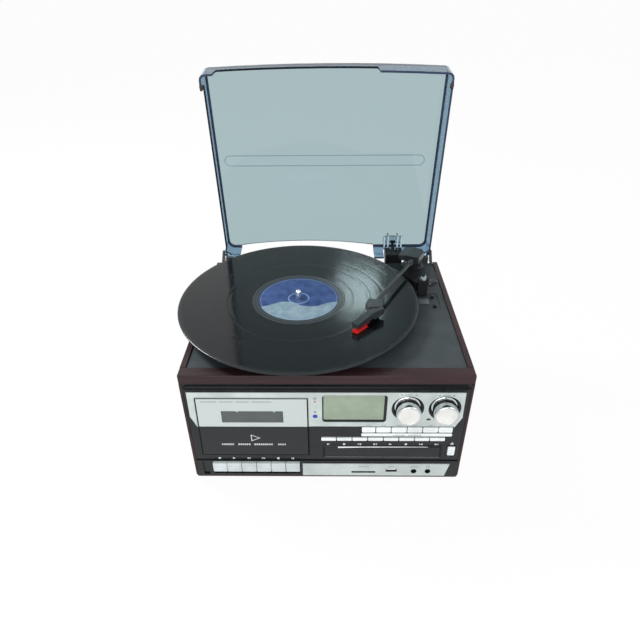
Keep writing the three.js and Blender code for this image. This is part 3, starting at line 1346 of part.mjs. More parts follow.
// The group's place: the middle of its box over the origin and its lowest point at z = 0
const box = new THREE.Box3().setFromObject(group);
group.position.set(-(box.min.x + box.max.x) / 2, -(box.min.y + box.max.y) / 2, -box.min.z);
group.updateMatrixWorld(true);

export default group;
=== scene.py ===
"""Looks of a wooden box record player with cassette and disc decks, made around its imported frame.

Places on the cabinet are given in millimetres from the middle of the cabinet's plan and the underside of its
base board, with x to the right, y to the back and z up, and spot() turns them into the frame's metres.
"""

import json
import math

import bpy
import bmesh
import numpy as np
from mathutils import Matrix, Vector

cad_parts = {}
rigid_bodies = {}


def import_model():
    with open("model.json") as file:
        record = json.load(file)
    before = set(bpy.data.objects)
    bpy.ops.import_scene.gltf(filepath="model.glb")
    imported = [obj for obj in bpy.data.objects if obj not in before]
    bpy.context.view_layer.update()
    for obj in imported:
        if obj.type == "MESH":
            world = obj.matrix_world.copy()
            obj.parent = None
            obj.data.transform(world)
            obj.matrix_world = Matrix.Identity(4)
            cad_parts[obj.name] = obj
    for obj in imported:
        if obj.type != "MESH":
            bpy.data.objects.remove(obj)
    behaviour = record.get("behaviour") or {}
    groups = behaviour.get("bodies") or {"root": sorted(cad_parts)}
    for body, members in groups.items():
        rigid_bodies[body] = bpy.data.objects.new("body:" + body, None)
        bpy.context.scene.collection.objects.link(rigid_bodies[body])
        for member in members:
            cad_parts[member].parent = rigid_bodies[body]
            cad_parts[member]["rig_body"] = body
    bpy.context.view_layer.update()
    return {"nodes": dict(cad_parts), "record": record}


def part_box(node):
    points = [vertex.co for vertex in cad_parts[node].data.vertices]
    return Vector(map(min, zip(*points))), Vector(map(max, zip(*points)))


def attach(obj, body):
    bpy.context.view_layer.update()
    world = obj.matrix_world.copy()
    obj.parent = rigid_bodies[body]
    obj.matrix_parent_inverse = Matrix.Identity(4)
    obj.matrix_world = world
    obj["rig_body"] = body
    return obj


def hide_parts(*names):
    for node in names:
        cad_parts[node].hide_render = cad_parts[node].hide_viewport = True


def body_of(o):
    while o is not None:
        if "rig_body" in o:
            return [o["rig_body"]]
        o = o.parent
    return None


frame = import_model()
nodes = frame["nodes"]
SLOT_OF = {part["node"]: part["material_slot"] for part in frame["record"]["subparts"]}
BODY_OF = {name: body_of(node)[0] for name, node in nodes.items()}
MM, MICRON = 1e-3, 1e-6
QUARTER, TURN = math.pi / 2, 2 * math.pi
# Radius in millimetres at the middle of a turned or round form, where it closes
POLE = 0.02

# The cabinet's own frame, from the outer corners of its two side boards, which start a little over its underside
SIDES_OVER_BASE = 3.3
left_corner, right_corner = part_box("left_side")[0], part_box("right_side")[1]
MIDDLE = np.array([
    (left_corner.x + right_corner.x) / 2,
    (left_corner.y + right_corner.y) / 2,
    left_corner.z - SIDES_OVER_BASE * MM,
])


def spot(x, y, z):
    """A point or an array of points of the cabinet, in the frame's metres."""
    return np.stack(np.broadcast_arrays(x, y, z), -1).astype(float) * MM + MIDDLE


# Camera: place in the cabinet's frame, turned left by yaw, down by pitch and rolled, as the photograph was taken
LENS = 30.342
SENSOR = 36.0
CAMERA_AT = (2.801, -575.629, 536.921)
YAW, PITCH, ROLL = 0.019525, 0.595265, -0.011703
NEAREST_SEEN = 0.01


def make_camera():
    """The camera's axes follow from the three angles: forward, then right and up rolled about it."""
    sy, cy, sp, cp = math.sin(YAW), math.cos(YAW), math.sin(PITCH), math.cos(PITCH)
    forward = Vector((-sy * cp, cy * cp, -sp))
    right = Vector((cy, sy, 0.0))
    up = right.cross(forward)
    across = math.cos(ROLL) * right + math.sin(ROLL) * up
    upward = math.cos(ROLL) * up - math.sin(ROLL) * right
    data = bpy.data.cameras.new("camera")
    data.lens = LENS
    data.sensor_width = SENSOR
    data.sensor_fit = "HORIZONTAL"
    data.clip_start = NEAREST_SEEN
    camera = bpy.data.objects.new("camera", data)
    bpy.context.scene.collection.objects.link(camera)
    turn = Matrix((across, upward, -forward)).transposed().to_4x4()
    camera.matrix_world = Matrix.Translation(Vector(spot(*CAMERA_AT))) @ turn
    bpy.context.scene.camera = camera


make_camera()
bpy.context.scene.view_settings.view_transform = "Standard"


# Finishes
class Nodes:
    """A node tree, with short ways to add what the finishes, the floor and the surround share."""

    def __init__(self, tree):
        self.tree = tree

    def node(self, kind, **values):
        """A node with its settings and the values of its sockets."""
        made = self.tree.nodes.new(kind)
        for key, value in values.items():
            if hasattr(made, key):
                setattr(made, key, value)
            else:
                made.inputs[key.replace("_", " ")].default_value = value
        return made

    def link(self, source, target):
        self.tree.links.new(source, target)

    def math(self, operation, a, b=None):
        """One step of arithmetic on a, or on a and b, each a socket or a number."""
        made = self.node("ShaderNodeMath", operation=operation)
        for source, target in ((a, made.inputs[0]), (b, made.inputs[1])):
            if isinstance(source, (int, float)):
                target.default_value = source
            elif source is not None:
                self.link(source, target)
        return made.outputs[0]

    def show_white(self, lit, white, output, share):
        """Light comes from lit, but the camera, glass and gloss see white by a share."""
        rays = self.node("ShaderNodeLightPath").outputs
        seen = self.math("MAXIMUM", rays["Is Camera Ray"], rays["Is Transmission Ray"])
        seen = self.math("MULTIPLY", self.math("MAXIMUM", seen, rays["Is Glossy Ray"]), share)
        blend = self.node("ShaderNodeMixShader")
        for source, target in zip((seen, lit.outputs[0], white.outputs[0]), blend.inputs):
            self.link(source, target)
        self.link(blend.outputs[0], self.tree.nodes[output].inputs[0])


class Finish(Nodes):
    """A procedural material: a Principled shader whose sockets read patterns on Object coordinates."""

    def __init__(self, name, colour, roughness, **sockets):
        self.material = bpy.data.materials.new(name)
        self.material.use_nodes = True
        super().__init__(self.material.node_tree)
        self.shader = self.tree.nodes["Principled BSDF"]
        self.shader.inputs["Base Color"].default_value = (*colour, 1)
        self.shader.inputs["Roughness"].default_value = roughness
        for socket, value in sockets.items():
            self.shader.inputs[socket.replace("_", " ")].default_value = value
        self.place = self.node("ShaderNodeTexCoord").outputs["Object"]

    def set(self, socket, source):
        """Links a source to one of the shader's sockets."""
        self.link(source, self.shader.inputs[socket])

    def mapped(self, scale=(1, 1, 1), at=(0, 0, 0)):
        """Object coordinates less the point at, then scaled."""
        moved = self.node("ShaderNodeVectorMath", operation="SUBTRACT")
        self.link(self.place, moved.inputs[0])
        moved.inputs[1].default_value = at
        stretched = self.node("ShaderNodeMapping", Scale=scale)
        self.link(moved.outputs[0], stretched.inputs["Vector"])
        return stretched.outputs[0]

    def noise(self, scale, detail=3.0, rough=0.5, where=None):
        """Soft noise from 0 to 1 with a number of waves to the metre."""
        made = self.node("ShaderNodeTexNoise", Scale=scale, Detail=detail, Roughness=rough)
        self.link(where or self.place, made.inputs["Vector"])
        return made.outputs["Fac"]

    def ramp(self, source, stops):
        """Colours or greys at places along a value from 0 to 1."""
        made = self.node("ShaderNodeValToRGB")
        band = made.color_ramp
        while len(band.elements) < len(stops):
            band.elements.new(0.5)
        for element, (place, colour) in zip(band.elements, stops):
            element.position = place
            element.color = (*colour, 1) if hasattr(colour, "__len__") else (colour, colour, colour, 1)
        self.link(source, made.inputs[0])
        return made.outputs[0]

    def span(self, source, low, high):
        """A value from 0 to 1 spread between low and high."""
        made = self.node("ShaderNodeMapRange")
        made.inputs["To Min"].default_value = low
        made.inputs["To Max"].default_value = high
        self.link(source, made.inputs["Value"])
        return made.outputs[0]

    def between(self, source, low, high):
        """1 where a value lies between low and high, and 0 elsewhere."""
        over, under = self.math("GREATER_THAN", source, low), self.math("LESS_THAN", source, high)
        return self.math("MULTIPLY", over, under)

    def mix(self, share, a, b):
        """Colour a where share is 0 and b where it is 1, by the node's three colour sockets."""
        made = self.node("ShaderNodeMix", data_type="RGBA")
        for source, target in ((share, made.inputs[0]), (a, made.inputs[6]), (b, made.inputs[7])):
            if isinstance(source, tuple):
                target.default_value = (*source, 1)
            else:
                self.link(source, target)
        return made.outputs[2]

    def bump(self, source, height, strength=1.0):
        """Bump of a height in metres."""
        made = self.node("ShaderNodeBump", Strength=strength, Distance=height)
        self.link(source, made.inputs["Height"])
        self.set("Normal", made.outputs[0])

    def parts(self, where):
        """The x, y and z of coordinates."""
        made = self.node("ShaderNodeSeparateXYZ")
        self.link(where, made.inputs[0])
        return made.outputs

    def radius(self, where):
        """Distance from the Z axis of mapped coordinates, the root of x squared and y squared."""
        x, y, _ = self.parts(where)
        return self.math("SQRT", self.math("ADD", self.math("MULTIPLY", x, x), self.math("MULTIPLY", y, y)))


def srgb(r, g, b):
    """A colour written as it looks, 0 to 255, as linear light."""
    return tuple(v / 255 / 12.92 if v <= 10.31 else ((v / 255 + 0.055) / 1.055) ** 2.4 for v in (r, g, b))


def wood(name, dark, light, along):
    """Satin veneer: long streaks along one axis, fine pores and a slow change of tone."""
    f = Finish(name, dark, 0.42, Specular_IOR_Level=0.25)
    across, lengthways, slower = 900, 22, 12
    stretch = [across] * 3
    stretch["xyz".index(along)] = lengthways
    streaks = f.noise(1.0, 5, 0.65, f.mapped(tuple(stretch)))
    slow = f.noise(1.0, 2, 0.5, f.mapped(tuple(v / slower for v in stretch)))
    streak_share, slow_share = 0.6, 0.4
    tone = f.math("ADD", f.math("MULTIPLY", streaks, streak_share), f.math("MULTIPLY", slow, slow_share))
    f.set("Base Color", f.ramp(tone, [(0.36, dark), (0.62, light)]))
    f.set("Roughness", f.span(streaks, 0.36, 0.52))
    f.bump(streaks, 120 * MICRON, 0.35)
    return f.material


def moulded(name, colour, roughness, grain=30, scale=1400, **sockets):
    """Moulded plastic, paint or metal: a fine texture as deep as grain in microns, a faint cloud in its tone and a
    slow change of gloss."""
    f = Finish(name, colour, roughness, **sockets)
    dull = tuple(v * 0.92 for v in colour)
    pale = tuple(min(1.0, v * 1.12 + 0.002) for v in colour)
    f.set("Base Color", f.ramp(f.noise(40, 3), [(0.35, dull), (0.65, pale)]))
    f.set("Roughness", f.span(f.noise(300, 2), roughness - 0.05, roughness + 0.06))
    f.bump(f.noise(scale, 2), grain * MICRON, 0.5)
    return f.material


def split_by_height(name, height, below, above, roughness):
    """One colour under a height of the cabinet and another over it, with a faint cloud in its gloss."""
    f = Finish(name, below, roughness, Specular_IOR_Level=0.4)
    over = f.math("GREATER_THAN", f.parts(f.place)[2], float(spot(0, 0, height)[2]))
    cloud = f.span(f.noise(60, 3), 0.94, 1.06)
    f.set("Base Color", f.mix(over, below, above))
    f.set("Roughness", f.math("MULTIPLY", cloud, roughness))
    f.bump(f.noise(1500, 2), 6 * MICRON, 0.4)
    return f.material


def acrylic(name, colour, specular=0.5):
    """Smoked clear acrylic: a tint that light takes on at each face, and a slow change of gloss."""
    f = Finish(name, colour, 0.03, IOR=1.3, Transmission_Weight=1.0, Specular_IOR_Level=specular)
    f.set("Roughness", f.span(f.noise(25, 3), 0.02, 0.05))
    return f.material


# The record: its middle and the height of its face, and what shows at a share of its radius; the lighter ring at
# the rim is a painted highlight
RECORD_X, RECORD_Y, RECORD_TOP = -35.3, 6.5, 176.2
RECORD_RADIUS = 151
RECORD_PLACE = tuple(float(v) for v in spot(RECORD_X, RECORD_Y, 0))
WAX, TRACK, SMOOTH_AND_RIM_HIGHLIGHT = srgb(48, 54, 58), srgb(11, 14, 17), srgb(24, 29, 32)
# From 0.975 of the radius outwards, the lighter ring at the rim is a painted highlight
RECORD_COLOURS = [
    (0.0, WAX), (0.386, WAX), (0.394, TRACK), (0.47, TRACK), (0.474, SMOOTH_AND_RIM_HIGHLIGHT), (0.48, TRACK), (0.60, TRACK),
    (0.604, SMOOTH_AND_RIM_HIGHLIGHT), (0.61, TRACK), (0.74, TRACK), (0.744, SMOOTH_AND_RIM_HIGHLIGHT), (0.75, TRACK), (0.965, TRACK), (0.975, SMOOTH_AND_RIM_HIGHLIGHT),
]
RECORD_ROUGHNESS = [
    (0, 0.3), (0.386, 0.28), (0.394, 0.15), (0.45, 0.15), (0.455, 0.3), (0.465, 0.13), (0.6, 0.13),
    (0.605, 0.32), (0.612, 0.12), (0.74, 0.12), (0.745, 0.3), (0.752, 0.13), (0.96, 0.13), (0.97, 0.25),
]
RINGS_TO_METRE, GROOVE_PITCH = 300, 2.1


def vinyl():
    """Pressed vinyl: fine grooves round the middle, a sine of the radius, and smoother bands between the tracks, at
    the rim and at the label. The band at the rim is coloured lighter as a painted highlight."""
    f = Finish("record_vinyl", srgb(25, 28, 30), 0.13, Anisotropic=0.4, Anisotropic_Rotation=0.25,
               Specular_IOR_Level=0.33)
    r = f.radius(f.mapped(at=RECORD_PLACE))
    share = f.math("DIVIDE", r, RECORD_RADIUS * MM)
    f.set("Base Color", f.ramp(share, RECORD_COLOURS))
    along = f.node("ShaderNodeCombineXYZ")
    f.link(f.math("MULTIPLY", r, RINGS_TO_METRE), along.inputs[0])
    rings = f.span(f.noise(1.0, 3, 0.6, along.outputs[0]), 0.6, 1.35)
    f.set("Roughness", f.math("MULTIPLY", f.ramp(share, RECORD_ROUGHNESS), rings))
    f.bump(f.math("SINE", f.math("MULTIPLY", r, TURN / (GROOVE_PITCH * MM))), 10 * MICRON, 0.12)
    f.set("Tangent", f.node("ShaderNodeTangent", direction_type="RADIAL", axis="Z").outputs[0])
    return f.material


# The label's print in metres: the hill's waves to a radian, their height, its rough edge and level, and two rings
HILL_WAVES, HILL_HEIGHT, HILL_ROUGH, HILL_LEVEL = 95.0, 0.006, 0.012, -0.008
RIM_RING, HUB_RING = (0.0478, 0.0483), (0.012, 0.0135)


def label_print():
    """Printed paper label: a blue ground, a pale low hill whose edge is a sine of x with noise on it, and two pale
    rings round the spindle."""
    f = Finish("label_paper", srgb(58, 84, 148), 0.5, Specular_IOR_Level=0.3)
    where = f.mapped(at=RECORD_PLACE)
    x, y, _ = f.parts(where)
    r = f.radius(where)
    wave = f.math("SINE", f.math("MULTIPLY", x, HILL_WAVES))
    hill = f.math("ADD", y, f.math("MULTIPLY", wave, HILL_HEIGHT))
    hill = f.math("ADD", hill, f.math("MULTIPLY", f.noise(60, 4), HILL_ROUGH))
    sky = f.ramp(f.noise(90, 4), [(0.35, srgb(34, 54, 104)), (0.7, srgb(58, 84, 134))])
    pale = f.ramp(f.noise(140, 4), [(0.3, srgb(108, 134, 150)), (0.7, srgb(138, 160, 172))])
    ground = f.mix(f.math("LESS_THAN", hill, HILL_LEVEL), sky, pale)
    rings = f.math("MAXIMUM", f.between(r, *RIM_RING), f.between(r, *HUB_RING))
    f.set("Base Color", f.mix(rings, ground, srgb(118, 142, 176)))
    f.bump(f.noise(1600, 2), 10 * MICRON, 0.3)
    return f.material


VENEER_DARK, VENEER_LIGHT = srgb(31, 18, 21), srgb(60, 40, 43)
SILVER, BLACK = srgb(191, 201, 199), srgb(22, 25, 28)
RED, DARK_GREY = srgb(200, 32, 30), srgb(20, 21, 23)
# Heights at which the cassette door's paint and the cartridge's plastic change colour
DOOR_SPLIT, CARTRIDGE_SPLIT = 87.7, 179.6
finishes = {
    "wood_x": wood("veneer_along_front", VENEER_DARK, VENEER_LIGHT, "x"),
    "wood_y": wood("veneer_along_side", VENEER_DARK, VENEER_LIGHT, "y"),
    "base": wood("painted_board", srgb(52, 34, 32), srgb(78, 54, 50), "x"),
    "black": moulded("satin_black_plastic", srgb(22, 24, 27), 0.34, Specular_IOR_Level=0.35),
    "deck": moulded("deck_plastic", srgb(59, 67, 70), 0.5, 50, 1100, Specular_IOR_Level=0.2),
    "gloss": moulded("gloss_black_panel", srgb(20, 23, 26), 0.09, 3, 200, Specular_IOR_Level=0.35),
    "silver": moulded("silver_paint", SILVER, 0.3, 6, 2200, Metallic=0.2),
    "button": moulded("silver_button_plastic", srgb(232, 238, 238), 0.26, 3, 900),
    "key": moulded("silver_key_plastic", srgb(198, 207, 209), 0.3, 3, 900),
    "grey": moulded("arm_grey_plastic", srgb(40, 45, 49), 0.34, Specular_IOR_Level=0.4),
    "clip": moulded("clip_grey_plastic", srgb(58, 64, 68), 0.3),
    "cradle": moulded("cradle_pale_plastic", srgb(168, 180, 184), 0.25),
    "metal": moulded("plain_steel", srgb(190, 192, 194), 0.3, Metallic=1.0),
    "chrome": moulded("spindle_chrome", srgb(225, 227, 229), 0.12, 2, 300, Metallic=1.0),
    "brass": moulded("turned_brass", srgb(205, 175, 96), 0.3, Metallic=1.0),
    "rubber": moulded("mat_rubber", srgb(34, 36, 38), 0.75),
    "green": moulded("circuit_green", srgb(44, 96, 60), 0.5),
    "vinyl": vinyl(),
    "label": label_print(),
    "lcd": moulded("display_glass", srgb(147, 161, 142), 0.2, 2, 300),
    "window": moulded("window_tint", srgb(74, 80, 82), 0.08, 2, 300),
    "knob": moulded("knob_face", srgb(232, 232, 228), 0.3, 0.2, 400, Metallic=0.6),
    "knob_side": moulded("knob_chrome", srgb(205, 209, 211), 0.1, 2, 200, Metallic=1.0),
    # Grey print; under the drawer's foot the same colour is a painted highlight
    "faint_print_and_highlight": moulded("grey_print_and_painted_highlight", srgb(120, 127, 130), 0.4),
    # Pale plastic of the port's tongue; along the drawer's head the same colour is a painted highlight
    "pale_and_highlight": moulded("pale_plastic_and_painted_highlight", srgb(236, 238, 240), 0.15, 2, 200),
    "plate": moulded("control_plate_grey", srgb(96, 104, 108), 0.4),
    # Dark joints and black jack plastic; in the hollows of the ports on the lower strip the same colour is painted
    # shade
    "joint": moulded("dark_joint_and_painted_shade", srgb(7, 8, 10), 0.6, Specular_IOR_Level=0.1),
    # A darker copy of the panel's gloss black for the rounded lip: painted shade
    "lip": moulded("lip_gloss_black_painted_shade", srgb(8, 10, 13), 0.22, 2, 200, Specular_IOR_Level=0.12),
    "print": moulded("pale_print", srgb(206, 213, 214), 0.4),
    "dark_print": moulded("dark_print", srgb(40, 44, 48), 0.4),
    "red_light": moulded("red_light", srgb(206, 52, 44), 0.25),
    "blue_light": moulded("blue_light", srgb(40, 60, 170), 0.2),
    # Dark navy on the lid's free edge and rounded meetings: painted shade for the long way light takes through the
    # acrylic there
    "edge": moulded("lid_edge_painted_shade", srgb(38, 55, 82), 0.35, 4, 300, Specular_IOR_Level=0.3),
    "bumper": moulded("bumper_brown", srgb(44, 34, 32), 0.5),
    "door": split_by_height("door_paint", DOOR_SPLIT, BLACK, SILVER, 0.22),
    "cartridge": split_by_height("cartridge_plastic", CARTRIDGE_SPLIT, RED, DARK_GREY, 0.3),
    "lid": acrylic("smoked_acrylic", srgb(168, 189, 192)),
    # A darker, bluer copy of the lid's acrylic for its walls: painted shade for the long way light takes through
    # them aslant
    "lid_wall_shaded": acrylic("smoked_acrylic_wall_painted_shade", srgb(112, 144, 168), 0.2),
    "catch": acrylic("clear_catch", srgb(184, 203, 214)),
}

FINISH_OF = {
    "base_board": "base", "left_side": "wood_y", "right_side": "wood_y", "front_rail": "wood_x",
    "rear_panel": "black", "deck_plate": "deck", "spindle": "chrome", "motor": "metal", "drive_belt": "rubber",
    "tonearm_base": "black", "arm_rest": "black", "hinge_block": "black", "fascia": "gloss",
    "silver_panel": "silver", "lower_strip": "silver", "lcd_display": "lcd", "disc_mechanism": "grey",
    "cassette_mechanism": "metal", "circuit_board": "green", "left_speaker": "black", "right_speaker": "black",
    "platter": "rubber", "record": "vinyl", "motor_pulley": "brass", "arm_cap": "grey", "arm_tube": "grey",
    "headshell": "grey", "cartridge": "cartridge", "arm_clip": "clip", "cue_lever": "black",
    "speed_switch": "black", "auto_stop_switch": "black", "lid": "lid", "hinge_tongue": "black",
    "cassette_door": "door", "door_window": "window", "volume_knob": "knob", "tuning_knob": "knob",
    "disc_drawer": "gloss", "open_button": "button",
}


def finish_of(node):
    """A node's finish, by its own name or as one of the buttons or of the silver keys."""
    return finishes[FINISH_OF.get(node) or ("button" if "button" in node else "silver")]


for name, node in nodes.items():
    node.data.materials.clear()
    node.data.materials.append(finish_of(name))


# Pieces. Each has a host, the CAD node whose body it rides on. Angles in
# degrees: faces within the first of them count as one flat face, and edges over the others are sharp.
WELD = 2 * MICRON
COPLANAR, SHARP, SHARP_ON_ARM, SHARP_ON_MARKS = 0.6, 40, 9, 20


def finish_mesh(name, mesh, host, stands, angle=SHARP):
    """Puts a mesh into the scene as a piece, shaded smooth under an angle in degrees; stands says that it takes its
    host's place."""
    body, slot = BODY_OF[host], SLOT_OF[host]
    piece = bpy.data.objects.new(name, mesh)
    bpy.context.scene.collection.objects.link(piece)
    mesh.shade_smooth()
    mesh.set_sharp_from_angle(angle=math.radians(angle))
    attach(piece, body)
    if stands:
        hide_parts(host)
    return piece


def faces_joined(node):
    """A copy of a node's mesh, its loose triangles welded and joined into flat faces."""
    work = bmesh.new()
    work.from_mesh(nodes[node].data)
    bmesh.ops.remove_doubles(work, verts=work.verts, dist=WELD)
    bmesh.ops.dissolve_limit(work, angle_limit=math.radians(COPLANAR), verts=work.verts, edges=work.edges)
    mesh = bpy.data.meshes.new(node + "_joined")
    work.to_mesh(mesh)
    work.free()
    return mesh


def edges_rounded(mesh, edge, angle):
    """A copy of a mesh with edges sharper than an angle rounded to a radius in millimetres."""
    helper = bpy.data.objects.new(mesh.name + "_helper", mesh)
    bpy.context.scene.collection.objects.link(helper)
    bevel = helper.modifiers.new("edges", "BEVEL")
    bevel.width = edge * MM
    bevel.segments = 2
    bevel.limit_method = "ANGLE"
    bevel.angle_limit = math.radians(angle)
    bevel.use_clamp_overlap = True
    bpy.context.view_layer.update()
    shape = bpy.data.meshes.new_from_object(helper.evaluated_get(bpy.context.evaluated_depsgraph_get()))
    bpy.data.objects.remove(helper)
    bpy.data.meshes.remove(mesh)
    return shape


def dressed(node, edge, paint=None, others=(), angle=SHARP):
    """Stands a copy of a node with rounded edges in its place. paint(middles, normals) gives each face's finish: 0
    for the node's own, then the others in turn."""
    mesh = edges_rounded(faces_joined(node), edge, angle)
    mesh.name = node + "_body"
    mesh.materials.clear()
    for finish in [finish_of(node), *(finishes[key] for key in others)]:
        mesh.materials.append(finish)
    if paint is not None:
        middles, normals = np.zeros((2, len(mesh.polygons) * 3))
        mesh.polygons.foreach_get("center", middles)
        mesh.polygons.foreach_get("normal", normals)
        middles = (middles.reshape(-1, 3) - MIDDLE) / MM
        mesh.polygons.foreach_set("material_index", paint(middles, normals.reshape(-1, 3)).astype(np.int32))
    piece = finish_mesh(node + "_body", mesh, node, True, angle)
    if angle == SHARP:
        flat = piece.modifiers.new("flat_faces", "WEIGHTED_NORMAL")
        flat.keep_sharp = True


def surface(name, points, host, finish, stands=False, around=True):
    """A piece from a grid of points of shape (rows, columns, 3), each four neighbours a face; around joins the last
    column to the first."""
    rows, columns = points.shape[:2]
    r, c = np.meshgrid(np.arange(rows - 1), np.arange(columns if around else columns - 1), indexing="ij")
    after = (c + 1) % columns
    low, high = r * columns, (r + 1) * columns
    quads = np.stack([low + c, low + after, high + after, high + c], -1)
    mesh = bpy.data.meshes.new(name)
    mesh.from_pydata(points.reshape(-1, 3), [], quads.reshape(-1, 4))
    mesh.validate()
    mesh.materials.append(finishes[finish])
    finish_mesh(name, mesh, host, stands)


def lathe(profile, count, centre, axis):
    """A profile of [radius, height] turned in count steps about an axis through centre, up or front (-Y): radius
    times cosine and sine of the turn across, height along the axis."""
    profile = np.asarray(profile, float)
    a = np.linspace(0, TURN, count, endpoint=False)
    r, h = profile[:, 0][:, None], profile[:, 1][:, None]
    u, v = r * np.cos(a), r * np.sin(a)
    x, y, z = centre
    return spot(x + u, y + v, z + h) if axis == "up" else spot(x + u, y - h, z + v)


# Record, its label and the spindle: profiles of [radius, height]
AXLE = (RECORD_X, RECORD_Y, 0)
RECORD_STEPS, LABEL_STEPS, SPINDLE_STEPS, KNOB_STEPS = 288, 144, 48, 96
HOLE, TRACKS_START, TRACKS_END = 3.9, 149.9, 52.2
RECORD_FOOT, TRACKS_UNDER_TOP, GAP_DEPTH, RINGS, RINGS_TO_GAP = 174.05, 0.1, 0.08, 60, 12
RECORD_RIM = [(HOLE, RECORD_FOOT), (TRACKS_START, RECORD_FOOT), (150.5, 174.5), (150.7, 175.1), (150.5, 175.75),
              (TRACKS_START, 176.12)]
RECORD_MIDDLE = [(51.6, 176.02), (50.6, 176.14), (3.95, 176.14), (HOLE, RECORD_FOOT)]
LABEL = [(50, 176.15), (49.7, 176.19), (3.95, 176.19), (3.95, 176.15)]
PIN, PIN_TOP, NOSE_FOOT, NOSE_HEIGHT = 3.55, 188.2, 186.3, 1.9
BEARING = [(POLE, 133.2), (3.4, 133.2), (3.58, 133.4), (3.58, 141.2), (9.6, 141.2), (9.95, 141.6), (9.95, 156.6),
           (9.6, 157.0), (3.58, 157.0), (PIN, 180.0)]


def record_profile():
    """The rim, then the tracks' face with a lower ring at each gap between tracks, then the raised middle."""
    radii = np.linspace(TRACKS_START, TRACKS_END, RINGS)[1:]
    gaps = np.arange(len(radii)) % RINGS_TO_GAP == 0
    face = np.stack([radii, RECORD_TOP - TRACKS_UNDER_TOP - GAP_DEPTH * gaps], -1)
    return np.concatenate([RECORD_RIM, face, RECORD_MIDDLE])


def spindle_profile():
    """The bearing's steps, the pin and a nose that is a quarter of an ellipse."""
    a = np.linspace(0, QUARTER, 9)[:-1]
    nose = np.stack([PIN * np.cos(a), NOSE_FOOT + NOSE_HEIGHT * np.sin(a)], -1)
    return np.concatenate([BEARING, nose, [(POLE, PIN_TOP)]])


surface("record_body", lathe(record_profile(), RECORD_STEPS, AXLE, "up"), "record", "vinyl", True)
surface("record_label", lathe(LABEL, LABEL_STEPS, AXLE, "up"), "record", "label")
surface("spindle_pin", lathe(spindle_profile(), SPINDLE_STEPS, AXLE, "up"), "spindle", "chrome", True)

# The lid: places on it are taken as when it is shut, up from its hinge axis and forwards from the axis or its back
HINGE_Y, HINGE_Z, OPEN = 143.3, 169.2, math.radians(84.25)
BACK_BEHIND_AXIS = 4.27
LID_UP = np.array([0, math.sin(OPEN), math.cos(OPEN)])
# Where its finishes change: heights, reaches, and how level a face of the rounded meetings may be
LID_EDGE = 0.25
FREE_EDGE, PANEL_INSIDE, PANEL_ROUND = -7.3, (24.1, 25.02), 22.0
WALL_TOP, WALL_INSIDE = 22.5, 148.8
LEVEL_INSIDE, LEVEL_OUTSIDE = 0.97, 0.9
CATCH_X, CATCH_Y, CATCH_UP = (97, 132), (-25, 1.2), (-3, 24.9)
BUMPER_FOOT, BUMPER_TOP, BUMPER_Y, BUMPER_X = -7.6, -6.5, (-248.5, -239), 148.6


def within(values, span):
    """Where values lie between the two ends of a span."""
    return (values > span[0]) & (values < span[1])


def lid_local(points):
    """Points of the open lid turned back about the hinge axis to the shut place: y and z from the axis."""
    y, z = points[:, 1] - HINGE_Y, points[:, 2] - HINGE_Z
    return y * math.cos(OPEN) - z * math.sin(OPEN), y * math.sin(OPEN) + z * math.cos(OPEN)


def lid_spot(x, v, up):
    """A point of the open lid: v forwards from its back face and up from the hinge axis, as when shut."""
    y, z = BACK_BEHIND_AXIS - np.asarray(v, float), np.asarray(up, float)
    return spot(x, HINGE_Y + y * math.cos(OPEN) + z * math.sin(OPEN),
                HINGE_Z - y * math.sin(OPEN) + z * math.cos(OPEN))


def lid_paint(middles, normals):
    """Clear panel 0; free edge and rounded meetings of walls and panel 1, dark navy as painted shade; walls 2, a
    darker tint as painted shade; bumpers 3; catch 4.
    """
    y, up = lid_local(middles)
    x, level = np.abs(middles[:, 0]), np.abs(normals @ LID_UP)
    inner_round = within(up, PANEL_INSIDE) & (x < WALL_INSIDE) & (level < LEVEL_INSIDE) & (y < 0)
    outer_round = (up > PANEL_ROUND) & (level < LEVEL_OUTSIDE)
    # The free edge and the rounded meetings take painted shade
    dark = (up < FREE_EDGE) | inner_round | outer_round
    wall = up < WALL_TOP
    catch = within(middles[:, 0], CATCH_X) & within(y, CATCH_Y) & within(up, CATCH_UP)
    bumper = (up < BUMPER_FOOT) | ((up < BUMPER_TOP) & within(y, BUMPER_Y) & (x > BUMPER_X))
    return np.select([bumper, catch, dark, wall], [3, 4, 1, 2], 0)


dressed("lid", LID_EDGE, lid_paint, ["edge", "lid_wall_shaded", "bumper", "catch"])

# Raised band moulded into the lid's outer face: its outer outline, its width, the face, and its section
BAND, BAND_WIDE, LID_FACE = (-140, 134, 129, 145), 1.6, 27.56
BAND_SHARES = np.array([0, 0.25, 0.5, 0.75, 1])
BAND_HEIGHTS = np.array([0.02, 0.12, 0.16, 0.12, 0.02])


def stadium(x0, x1, v0, v1, count):
    """A closed outline of two straight sides and two half circles between x0 and x1, v0 and v1."""
    r, mid = (v1 - v0) / 2, (v0 + v1) / 2
    a = np.linspace(-QUARTER, QUARTER, count)
    right = np.stack([x1 - r + r * np.cos(a), mid + r * np.sin(a)], -1)
    left = np.stack([x0 + r - r * np.cos(a), mid - r * np.sin(a)], -1)
    return np.concatenate([right, left])


def band_points():
    """A low ridge: outlines between an outer and an inner stadium by shares, each at its height over the lid."""
    x0, x1, v0, v1 = BAND
    outer = stadium(x0, x1, v0, v1, 24)
    inner = stadium(x0 + BAND_WIDE, x1 - BAND_WIDE, v0 + BAND_WIDE, v1 - BAND_WIDE, 24)
    lines = outer + (inner - outer) * BAND_SHARES[:, None, None]
    return lid_spot(lines[..., 0], lines[..., 1], LID_FACE + BAND_HEIGHTS[:, None])


# Soft pads at the corners of the lid's free edge: flat ellipsoids
PAD_X, PAD_V, PAD_UP = 149.3, 243.7, -7.5
PAD_HALF = (2.4, 4, 0.8)
PAD_POLE = 1.45


